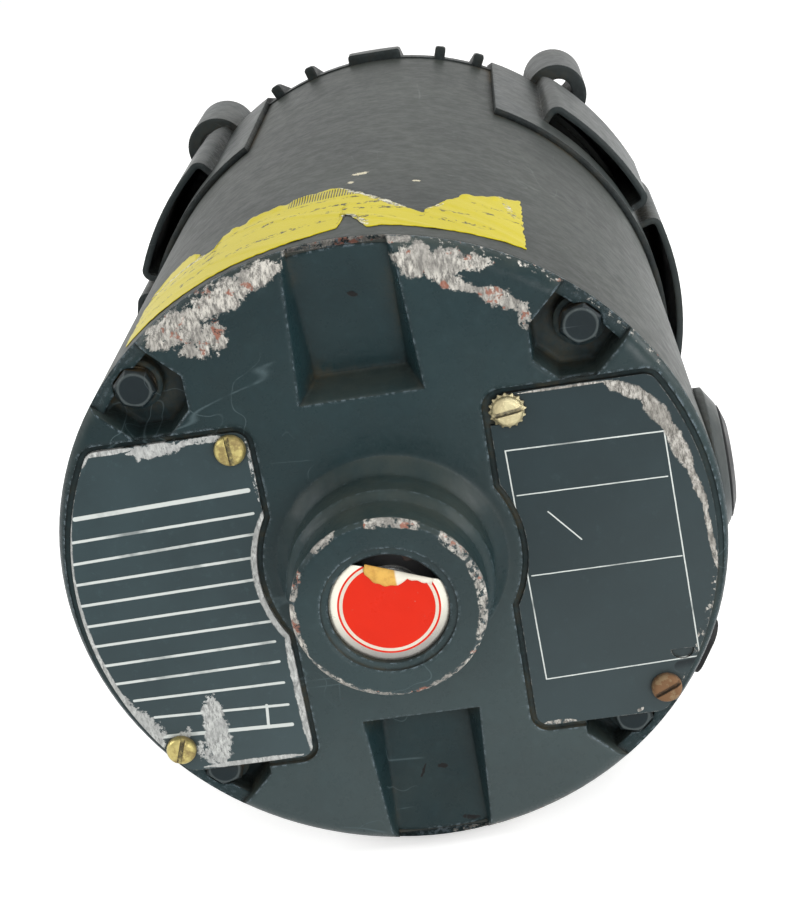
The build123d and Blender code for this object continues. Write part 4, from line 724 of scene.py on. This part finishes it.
# Terminal cover: steel sheet over the wiring opening, printed dark grey with a thin ruled frame.
# Hands and tools have worn its outer edge bare from the top round to the conduit side.
frame_rules = [
    (27.2, 21.6, 60.0, 21.1, 0.17), (60.0, 21.1, 61.9, -32.3, 0.16), (61.9, -32.3, 28.4, -33.2, 0.16),
    (28.4, -33.2, 27.2, 21.6, 0.16), (28.2, 11.2, 59.6, 10.9, 0.15), (28.7, -7.8, 60.6, -7.8, 0.15),
    (34.1, 6.6, 40.2, -0.8, 0.16),
]
cover_finish = printed_plate(
    "printed_cover", (0.010, 0.022, 0.026), frame_rules,
    scrapes=[
        (49.5, 33.5, 58.0, 28.7, 1.5, 3.0, 0.26), (56.6, 29.8, 61.2, 21.8, 2.0, 3.0, 0.26),
        (60.2, 24.0, 64.6, 12.0, 1.8, 3.0, 0.26), (63.8, 14.0, 67.0, 2.5, 1.0, 2.0, 0.28),
        (66.4, 4.5, 67.8, -12.0, 0.7, 1.6, 0.36), (31.5, 33.8, 51.0, 33.8, 0.3, 0.4, 0.30),
        (26.6, -44.2, 33.5, -44.3, 0.6, 1.6, 0.40), (47.2, -44.2, 48.4, -43.4, 0.5, 1.2, 0.42),
    ],
    bands=[(67.8, 69.0, 98, 126, -150, 0.8, 0.56)], rough=0.34, border=0.5,
    metal=((0.10, 0.095, 0.085), (0.50, 0.48, 0.44)), painted_light=0.22, dent=(57.6, -34.4, 60.6, -34.2, 1.7, 0.3, 0.0),
)
dress(cover_finish, "terminal_cover")

# Plate screws: round-head slotted screws. The pair on the nameplate is yellow plated,
# the pair on the cover is zinc plated; the lowest has rusted.


def plated_screw(name, colour, rust, amount):
    finish, surface = start(name, metallic=0.85)
    marks = cloud(520.0, 4.0, 0.6)
    patches = window(cloud(240.0, 5.0, 0.75), 0.42, 0.62)
    height = split(own_place())
    lower = window(height[2], 0.0, -0.02)
    rusty = times(patches, made("Mix", {0: lower, 2: amount[0], 3: amount[1]}, data_type="FLOAT"))
    rusty = sums("MULTIPLY_ADD", lower, amount[2], rusty, clamp=True)
    masks = worn_and_shaded(0.0003, 0.0022, 1300.0)
    tone = cover(marks, [c * 0.62 for c in colour], colour)
    tone = cover(rusty, tone, rust)
    # Painted shade and soiling: the corners darkened
    tone = cover(masks["Dirt and shade"], tone, (0.035, 0.030, 0.022))
    metal_left = window(plus(rusty, masks["Dirt and shade"]), 0.1, 1.0, 0.8, 0.1)
    paint(surface, tone, window(plus(rusty, marks), 0.2, 1.4, 0.34, 0.8), metal_left)
    relief(surface, plus(marks, patches), 0.4, 0.00015, 0.0003)
    return finish


dress(plated_screw("yellow_plated", (0.52, 0.44, 0.17), (0.17, 0.11, 0.04), (0.7, 0.7, 0.0)), "nameplate_screws")
cover_screw_finish = plated_screw("zinc_plated", (0.56, 0.50, 0.30), (0.15, 0.075, 0.030), (0.2, 0.6, 0.8))
dress(cover_screw_finish, "terminal_cover_screws")

# Toothed lock washer under the upper screw of the cover: spring steel ring with teeth bent out of its rim.
# The teeth repeat round the screw, so Geometry Nodes set them out.
washer_centre = (0.0289, 0.0306)
washer_seat = -0.21842


def geometry_tree(name, inputs):
    """Opens a Geometry Nodes tree with the given inputs; gives it with its own inputs and outputs."""
    group = bpy.data.node_groups.new(name, "GeometryNodeTree")
    for label, kind, value in inputs:
        socket = group.interface.new_socket(name=label, in_out="INPUT", socket_type=kind)
        socket.default_value = value
    group.interface.new_socket(name="Geometry", in_out="OUTPUT", socket_type="NodeSocketGeometry")
    open_tree(group)
    return group, put("NodeGroupInput").outputs, put("NodeGroupOutput").inputs


def in_scene(name, data):
    piece = bpy.data.objects.new(name, data)
    bpy.context.scene.collection.objects.link(piece)
    return piece


def plain_mesh(name, group, finish):
    """Runs a Geometry Nodes tree on an empty mesh and keeps the result as a plain mesh object."""
    carrier = in_scene(name + "_carrier", bpy.data.meshes.new(name + "_carrier"))
    modifier = carrier.modifiers.new("build", "NODES")
    modifier.node_group = group
    for item in group.interface.items_tree:
        if item.in_out == "INPUT" and item.socket_type != "NodeSocketGeometry":
            modifier[item.identifier] = item.default_value
    carrier.update_tag()
    bpy.context.view_layer.update()
    evaluated = carrier.evaluated_get(bpy.context.evaluated_depsgraph_get())
    mesh = bpy.data.meshes.new_from_object(evaluated)
    bpy.data.objects.remove(carrier)
    mesh.name = name
    mesh.materials.clear()
    mesh.materials.append(finish)
    return in_scene(name, mesh)


washer_tree, washer_in, washer_out = geometry_tree("toothed_washer", [
    ("Teeth", "NodeSocketInt", 16), ("Radius", "NodeSocketFloat", 0.0032), ("Tooth", "NodeSocketFloat", 0.0007),
    ("Thickness", "NodeSocketFloat", 0.00045), ("Twist", "NodeSocketFloat", 0.35),
])
circle = made("GeometryNodeMeshCircle", {"Vertices": washer_in["Teeth"], "Radius": washer_in["Radius"]})
tooth = made(
    "GeometryNodeMeshCone",
    {"Vertices": 4, "Radius Top": 0.00015, "Radius Bottom": washer_in["Tooth"], "Depth": washer_in["Tooth"]},
    fill_type="TRIANGLE_FAN",
)
outwards = made("FunctionNodeAlignRotationToVector", {"Vector": made("GeometryNodeInputPosition", {})}, axis="Z")
twist = made("FunctionNodeEulerToRotation", {0: made("CombineXYZ", {"Z": washer_in["Twist"]})})
turn = made("FunctionNodeRotateRotation", {"Rotation": outwards, "Rotate By": twist}, rotation_space="LOCAL")
teeth = made("GeometryNodeInstanceOnPoints", {"Points": circle, "Instance": tooth, "Rotation": turn})
ring_sizes = {"Vertices": 40, "Radius": 0.0035, "Depth": washer_in["Thickness"]}
together = put("GeometryNodeJoinGeometry")
feed(together.inputs[0], made("GeometryNodeMeshCylinder", ring_sizes, fill_type="NGON"))
feed(together.inputs[0], teeth)
shift = made("GeometryNodeTransform", {
    "Geometry": made("GeometryNodeRealizeInstances", {0: together.outputs[0]}),
    "Rotation": (math.pi / 2, 0.0, 0.0),
    "Translation": (washer_centre[0], washer_seat - 0.00028, washer_centre[1]),
})
feed(washer_out[0], made("GeometryNodeSetMaterial", {"Geometry": shift, "Material": cover_screw_finish}))
lock_washer = plain_mesh("toothed_lock_washer", washer_tree, cover_screw_finish)
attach(lock_washer, "motor_frame")

# Hub disc: printed foil pushed into the hub bore, plain red with a cream and silver rim.
# Its upper edge is torn away, and a flap of the tan backing is folded down over the red.
disc_radius = 0.01225
disc_front = -0.23863
torn_clock = math.radians(21.6)
torn_distance = 0.0077


def thin_sheet(name, points, faces, behind, finish):
    """A closed thin sheet: the given face, the same face again behind it, and a wall round every open edge."""
    count = len(points)
    sides = [tuple(face) for face in faces] + [tuple(i + count for i in reversed(face)) for face in faces]
    used = {}
    for face in faces:
        for start_point, end_point in zip(face, (*face[1:], face[0])):
            used[start_point, end_point] = True
    for start_point, end_point in used:
        if (end_point, start_point) not in used:
            sides.append((end_point, start_point, start_point + count, end_point + count))
    mesh = bpy.data.meshes.new(name)
    mesh.from_pydata([*points, *[behind(p) for p in points]], [], sides)
    shape = bmesh.new()
    shape.from_mesh(mesh)
    bmesh.ops.recalc_face_normals(shape, faces=shape.faces)
    shape.to_mesh(mesh)
    shape.free()
    for polygon in mesh.polygons:
        polygon.use_smooth = polygon.index < 2 * len(faces)
    mesh.materials.append(finish)
    return in_scene(name, mesh)


def grid_faces(columns, rows):
    """Faces of a sheet whose points were made row by row along each column."""
    starts = [i * (rows + 1) + j for i in range(columns) for j in range(rows)]
    return [(k, k + 1, k + rows + 2, k + rows + 1) for k in starts]


def foil_finish(name):
    finish, surface = start(name, roughness=0.34, specular=0.15)
    spot = split(own_place())
    radius = length(spot[0], spot[2])
    rim = window(radius, 0.01045, 0.01052)
    thin_ring = between(radius, 0.00935, 0.01003, 0.00007)
    low = window(spot[2], 0.002, -0.011)
    rim_tone = cover(low, (0.74, 0.72, 0.62), (0.30, 0.29, 0.27))
    tone = cover(cloud(120.0, 3.0), (0.58, 0.014, 0.002), (0.68, 0.022, 0.004))
    tone = cover(thin_ring, tone, (0.66, 0.60, 0.50))
    tone = cover(rim, tone, rim_tone)
    masks = worn_and_shaded(0.0002, 0.0025, 1500.0)
    # Painted shade and soiling: darker where the foil meets the bore
    tone = cover(times(masks["Dirt and shade"], 0.5), tone, (0.06, 0.05, 0.04))
    tone = cover(window(cloud(900.0, 4.0, 0.7), 0.66, 0.74, 0.0, 0.5), tone, (0.30, 0.20, 0.16))
    face = split(own_normal())
    at_back = window(face[1], 0.4, 0.6)
    tone = cover(at_back, tone, (0.30, 0.30, 0.30))
    paint(surface, tone, window(cloud(200.0), 0.3, 0.7, 0.26, 0.44), times(rim, 0.4))
    relief(surface, cloud(170.0, 3.0, 0.5), 0.5, 0.0003)
    return finish


ring_count, spoke_count = 20, 120
points, faces = [(0.0, disc_front, 0.0)], []
for i in range(1, ring_count + 1):
    for j in range(spoke_count):
        turn_angle = 2 * math.pi * j / spoke_count
        limit = disc_radius
        lean = math.cos(turn_angle - torn_clock)
        if lean > 0.3:
            tear_waves = 0.00045 * math.sin(turn_angle * 7.0) + 0.0003 * math.sin(turn_angle * 17.0 + 1.0)
            limit = min(disc_radius, (torn_distance + tear_waves) / lean)
        radius = limit * i / ring_count
        x, z = radius * math.sin(turn_angle), radius * math.cos(turn_angle)
        points.append((x, disc_front + 0.0001 * math.sin(x * 420.0 + 1.3) * math.cos(z * 380.0), z))
for j in range(spoke_count):
    faces.append((0, 1 + j, 1 + (j + 1) % spoke_count))
    for i in range(ring_count - 1):
        near, far = 1 + i * spoke_count, 1 + (i + 1) * spoke_count
        faces.append((near + j, far + j, far + (j + 1) % spoke_count, near + (j + 1) % spoke_count))
foil_back = 0.00012
hub_foil = thin_sheet(
    "hub_foil", points, faces, lambda p: (p[0], p[1] + foil_back, p[2]), foil_finish("printed_foil")
)
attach(hub_foil, "motor_frame")
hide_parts("hub_disc")

# The folded flap: tan paper backing, a shallow crescent that hangs from the torn edge
flap_finish, surface = start("tan_backing", roughness=0.6)
surface.inputs["Specular IOR Level"].default_value = 0.3
across_flap = split(own_place())
tan = cover(window(cloud(420.0, 5.0, 0.7), 0.4, 0.7), (0.68, 0.40, 0.085), (0.50, 0.26, 0.05))
tan = cover(window(across_flap[0], 0.0022, 0.0027), tan, (0.72, 0.68, 0.58))
feed(surface.inputs["Base Color"], tan)
relief(surface, cloud(900.0, 4.0, 0.7), 0.5, 0.0002)
points = []
flap_steps, flap_rows = 28, 6
left_end, right_end = -0.0068, 0.0072
for i in range(flap_steps + 1):
    share_along = i / flap_steps
    s = left_end + (right_end - left_end) * share_along
    drop = 0.0006 + 0.0025 * math.sin(math.pi * min(1.0, share_along * 1.56)) ** 0.6
    drop += 0.00015 * math.sin(s * 2600.0)
    for k in range(flap_rows + 1):
        down = k / flap_rows
        distance_up = torn_distance + 0.0007 - (drop + 0.0007) * down
        x = s * math.cos(torn_clock) + distance_up * math.sin(torn_clock)
        z = -s * math.sin(torn_clock) + distance_up * math.cos(torn_clock)
        curl = 0.00022 + 0.0006 * math.sin(math.pi * down) * math.sin(math.pi * share_along)
        points.append((x, disc_front - curl, z))
foil_flap = thin_sheet(
    "foil_flap", points, grid_faces(flap_steps, flap_rows), lambda p: (p[0], p[1] + 0.0001, p[2]), flap_finish
)
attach(foil_flap, "motor_frame")

# Conduit plug: black plastic, snapped into the conduit boss. Lead grommet and shaft slinger: moulded black rubber.
# All three are greyed by dust and a little chalky at the edges.


def moulded(name, colour, bloom, rough, grain):
    finish, surface = start(name, roughness=rough, specular=0.12)
    masks = worn_and_shaded(0.0005, 0.004, 800.0)
    tone = cover(cloud(grain, 5.0, 0.6), colour, [c * 1.8 for c in colour])
    powder = times(apply_group(dust, Scale=120.0, Side=0.3)["Mask"], 0.2)
    tone = cover(powder, tone, bloom)
    tone = cover(times(masks["Edge"], 0.5), tone, bloom)
    paint(surface, tone, window(cloud(grain * 0.5), 0.3, 0.7, rough * 0.85, min(1.0, rough * 1.2)))
    relief(surface, cloud(grain * 2.0, 4.0, 0.6), 0.4, 0.0002, 0.0004)
    return finish


dress(moulded("plug_plastic", (0.010, 0.011, 0.012), (0.07, 0.07, 0.066), 0.42, 500.0), "conduit_plug")
rubber = moulded("soft_rubber", (0.010, 0.010, 0.011), (0.12, 0.12, 0.11), 0.62, 700.0)
dress(rubber, "lead_grommet", "shaft_slinger")

# Yellow label: vinyl sticker wrapped over the shell's rear edge, printed in small type that is worn to specks.
# The far edge is torn ragged, the ends lift, and strips of it are scuffed down to grey.
rear_face = -0.2186
shell_radius = 0.07112
label_start, label_end = -42.0, 32.0
far_edge = (
    (-42, 31.0), (-39.3, 35.5), (-36.6, 42.0), (-31.6, 42.4), (-29.5, 38.0), (-26.5, 30.5), (-24.1, 29.5),
    (-23.3, 37.2), (-16, 38.6), (-10.5, 39.2), (-4, 41.6), (-1, 42.2), (5.1, 32.2), (11.9, 22.4),
    (14.3, 19.2), (16.9, 28.0), (20.9, 37.2), (26, 42.0), (32, 47.4),
)
near_edge = (
    (-42, 8.0), (-30, 6.0), (-12, 5.4), (-5.5, 6.4), (0.2, 9.4), (1.1, 19.4), (3.2, 15.2), (5.2, 8.4), (7.6, 9.4),
    (15.4, 8.6), (23.6, 9.1), (32, 10.7),
)
random.seed(6)
ripple = [random.uniform(-1.0, 1.0) for _ in range(400)]


def ragged(position, step):
    """Smooth random waver along a torn edge, from -1 to 1."""
    place_in = position / step
    low_index = int(math.floor(place_in))
    part = place_in - low_index
    part = part * part * (3 - 2 * part)
    return ripple[low_index % 400] * (1 - part) + ripple[(low_index + 1) % 400] * part


def along_edge(edge, clock_angle):
    for (c0, y0), (c1, y1) in zip(edge, edge[1:]):
        if clock_angle <= c1:
            return y0 + (y1 - y0) * (clock_angle - c0) / (c1 - c0)
    return edge[-1][1]


def vinyl_finish(name):
    finish, surface = start(name, roughness=0.46, specular=0.12)
    where = split(own_place())
    around = times(sums("ARCTAN2", where[0], where[2]), shell_radius)
    flat_place = made("CombineXYZ", {0: around, 1: where[1]})
    # Worn print that can't be read: specks kept only inside four rows, and a block of bars
    specks = window(cloud(620.0, 3.0, 0.7, at=flat_place), 0.53, 0.57)
    rows = [
        between(where[1], rear_face + low / 1000, rear_face + high / 1000, 0.0004)
        for low, high in ((14.5, 17.0), (21.5, 23.6), (26.0, 27.8), (32.0, 33.4))
    ]
    print_rows = times(times(most(rows), specks), window(cloud(70.0, 3.0, 0.6, at=flat_place), 0.44, 0.54))
    bars = wave("BANDS", "X", at=flat_place, Scale=520.0, Distortion=6.0, Detail_Scale=0.02)
    bar_block = times(between(around, -0.0125, 0.0039, 0.0003), between(where[1], -0.1842, -0.1778, 0.0003))
    bar_marks = times(bar_block, window(bars, 0.5, 0.6))
    smudges = window(cloud(120.0, 6.0, 0.75, at=flat_place), 0.63, 0.74, 0.0, 0.5)
    scuffs = runs(torn(), [
        (-1.0, -176.6, 13.8, -196.2, 1.3, 5.0, 0.42), (0.8, -200.5, 3.4, -202.0, 1.5, 3.0, 0.36),
        (4.0, -203.0, 6.6, -208.6, 0.9, 2.4, 0.44), (-45.6, -184.0, -29.5, -188.5, 0.8, 3.0, 0.40),
        (33.0, -174.0, 36.0, -188.0, 0.9, 3.0, 0.50), (17.0, -197.5, 21.5, -190.5, 0.7, 2.4, 0.46),
    ], (1.0, 1.0, 0.0))
    fine = cloud(900.0, 4.0, 0.7)
    tone = cover(cloud(60.0, 4.0), (0.46, 0.385, 0.003), (0.55, 0.465, 0.007))
    tone = cover(smudges, tone, (0.22, 0.175, 0.008))
    tone = cover(larger(print_rows, bar_marks), tone, (0.035, 0.032, 0.018))
    paper = cover(window(fine, 0.42, 0.58), (0.18, 0.17, 0.13), (0.66, 0.64, 0.52))
    tone = cover(scuffs, tone, paper)
    masks = worn_and_shaded(0.0002, 0.002, 1500.0)
    # Painted shade and soiling: darker where the corners close in
    tone = cover(times(masks["Dirt and shade"], 0.5), tone, (0.10, 0.09, 0.05))
    paint(surface, tone, window(plus(smudges, scuffs), 0.0, 1.0, 0.34, 0.75))
    relief(surface, plus(fine, scuffs), 0.35, 0.0002)
    return finish


points = []
clock_steps, depth_steps = 240, 56
for i in range(clock_steps + 1):
    for j in range(depth_steps + 1):
        clock_angle = label_start + (label_end - label_start) * i / clock_steps
        far = along_edge(far_edge, clock_angle) + 0.5 * ragged(clock_angle + 50, 1.1)
        far += 0.35 * ragged(clock_angle + 50, 0.33)
        near = along_edge(near_edge, clock_angle) + 0.25 * ragged(clock_angle + 70, 0.8)
        far = max(far, near + 0.8)
        y = near + (far - near) * j / depth_steps
        first = label_start + 0.8 * abs(ragged(y + 90, 2.2))
        last = label_end - 0.2 - 0.5 * abs(ragged(y + 130, 1.6))
        a = math.radians(first + (last - first) * i / clock_steps)
        lift = 0.00015 + 0.0001 * max(0.0, ragged(clock_angle * 0.7 + y + 200, 3.1))
        lift += 0.004 * max(0.0, j / depth_steps - 0.9) * max(0.0, ragged(clock_angle + 150, 1.7))
        r = shell_radius + lift
        points.append((r * math.sin(a), rear_face + y / 1000, r * math.cos(a)))


def inwards(point):
    shrink = 1 - 0.0001 / math.hypot(point[0], point[2])
    return (point[0] * shrink, point[1], point[2] * shrink)


label_finish = vinyl_finish("yellow_vinyl_print")
label_sheet = thin_sheet("label_sheet", points, grid_faces(clock_steps, depth_steps), inwards, label_finish)
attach(label_sheet, "motor_frame")
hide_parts("yellow_label")

# Stage: a pale plain floor under the motor's lowest ribs, and white surroundings.
floor_level = cad_low.z - 0.0002
floor_mesh = bpy.data.meshes.new("floor")
floor_half = 6.0
corners = [(x * floor_half, y * floor_half, floor_level) for x, y in ((-1, -1), (1, -1), (1, 1), (-1, 1))]
floor_mesh.from_pydata(corners, [], [(0, 1, 2, 3)])
floor = in_scene("floor", floor_mesh)
room_light, white = 0.50, 1.0


def shown_white():
    """1 for rays that look past the motor, through it or into its reflections."""
    rays = put("LightPath").outputs
    return larger(larger(rays["Is Camera Ray"], rays["Is Transmission Ray"]), rays["Is Glossy Ray"])


floor_finish, surface = start("pale_floor", roughness=0.9, specular=0.1)
surface.inputs["Base Color"].default_value = (0.88, 0.88, 0.87, 1.0)
glow = made("Emission", {"Color": (1.0, 1.0, 1.0, 1.0), "Strength": times(shown_white(), white - room_light)})
lit = made("AddShader", {0: surface.outputs[0], 1: glow})
feed(tree.nodes["Material Output"].inputs["Surface"], lit)
floor_mesh.materials.append(floor_finish)

world = bpy.data.worlds.new("studio")
bpy.context.scene.world = world
world.use_nodes = True
open_tree(world.node_tree)
back = tree.nodes["Background"]
back.inputs["Color"].default_value = (1.0, 1.0, 1.0, 1.0)
feed(back.inputs["Strength"], plus(room_light, times(shown_white(), white - room_light)))


def soft_lamp(name, where, aim, size, power):
    lamp = bpy.data.lights.new(name, "AREA")
    lamp.shape = "RECTANGLE"
    lamp.size, lamp.size_y = size
    lamp.energy = power
    lamp_object = in_scene(name, lamp)
    lamp_object.location = where
    lamp_object.rotation_mode = "QUATERNION"
    lamp_object.rotation_quaternion = (Vector(aim) - Vector(where)).to_track_quat("-Z", "Y")


soft_lamp("overhead", (0.30, -0.05, 0.95), (0.0, -0.12, 0.0), (0.7, 0.7), 3.2)
soft_lamp("right_side", (1.05, -0.30, 0.40), (0.0, -0.15, 0.0), (0.5, 0.5), 7.5)
soft_lamp("left_side", (-1.0, -0.20, 0.55), (0.0, -0.15, 0.0), (0.5, 0.5), 6.0)
soft_lamp("low_right", (0.40, -0.95, 0.0), (0.02, -0.22, -0.02), (0.5, 0.1), 2.4)
soft_lamp("rear_high", (0.10, -1.2, 0.75), (0.0, -0.2, 0.0), (0.5, 0.4), 3.4)

# Camera: close to the rear end, above it and a little to the right, rolled about ten degrees,
# as the photograph was taken.
azimuth, elevation, roll = math.radians(-4.69), math.radians(21.47), math.radians(-9.86)
forward = Vector((
    math.sin(azimuth) * math.cos(elevation), math.cos(azimuth) * math.cos(elevation), -math.sin(elevation),
))
right = forward.cross(Vector((0.0, 0.0, 1.0))).normalized()
up = right.cross(forward)
picture_right = right * math.cos(roll) + up * math.sin(roll)
picture_up = up * math.cos(roll) - right * math.sin(roll)
camera_data = bpy.data.cameras.new("camera")
camera = in_scene("camera", camera_data)
camera_place = Vector((0.03923, -0.55098, 0.16416))
camera.matrix_world = Matrix([
    (picture_right[i], picture_up[i], -forward[i], camera_place[i]) for i in range(3)
] + [(0.0, 0.0, 0.0, 1.0)])
picture_width, picture_height, focal_pixels = 799, 900, 1753.75
centre_across, centre_down = 423.43, 411.13
camera_data.sensor_width = 36.0
camera_data.lens = focal_pixels * camera_data.sensor_width / picture_height
camera_data.shift_x = (picture_width / 2 - centre_across) / picture_height
camera_data.shift_y = (centre_down - picture_height / 2) / picture_height
camera_data.clip_start = 0.01
bpy.context.scene.camera = camera
bpy.context.scene.view_settings.view_transform = "Standard"
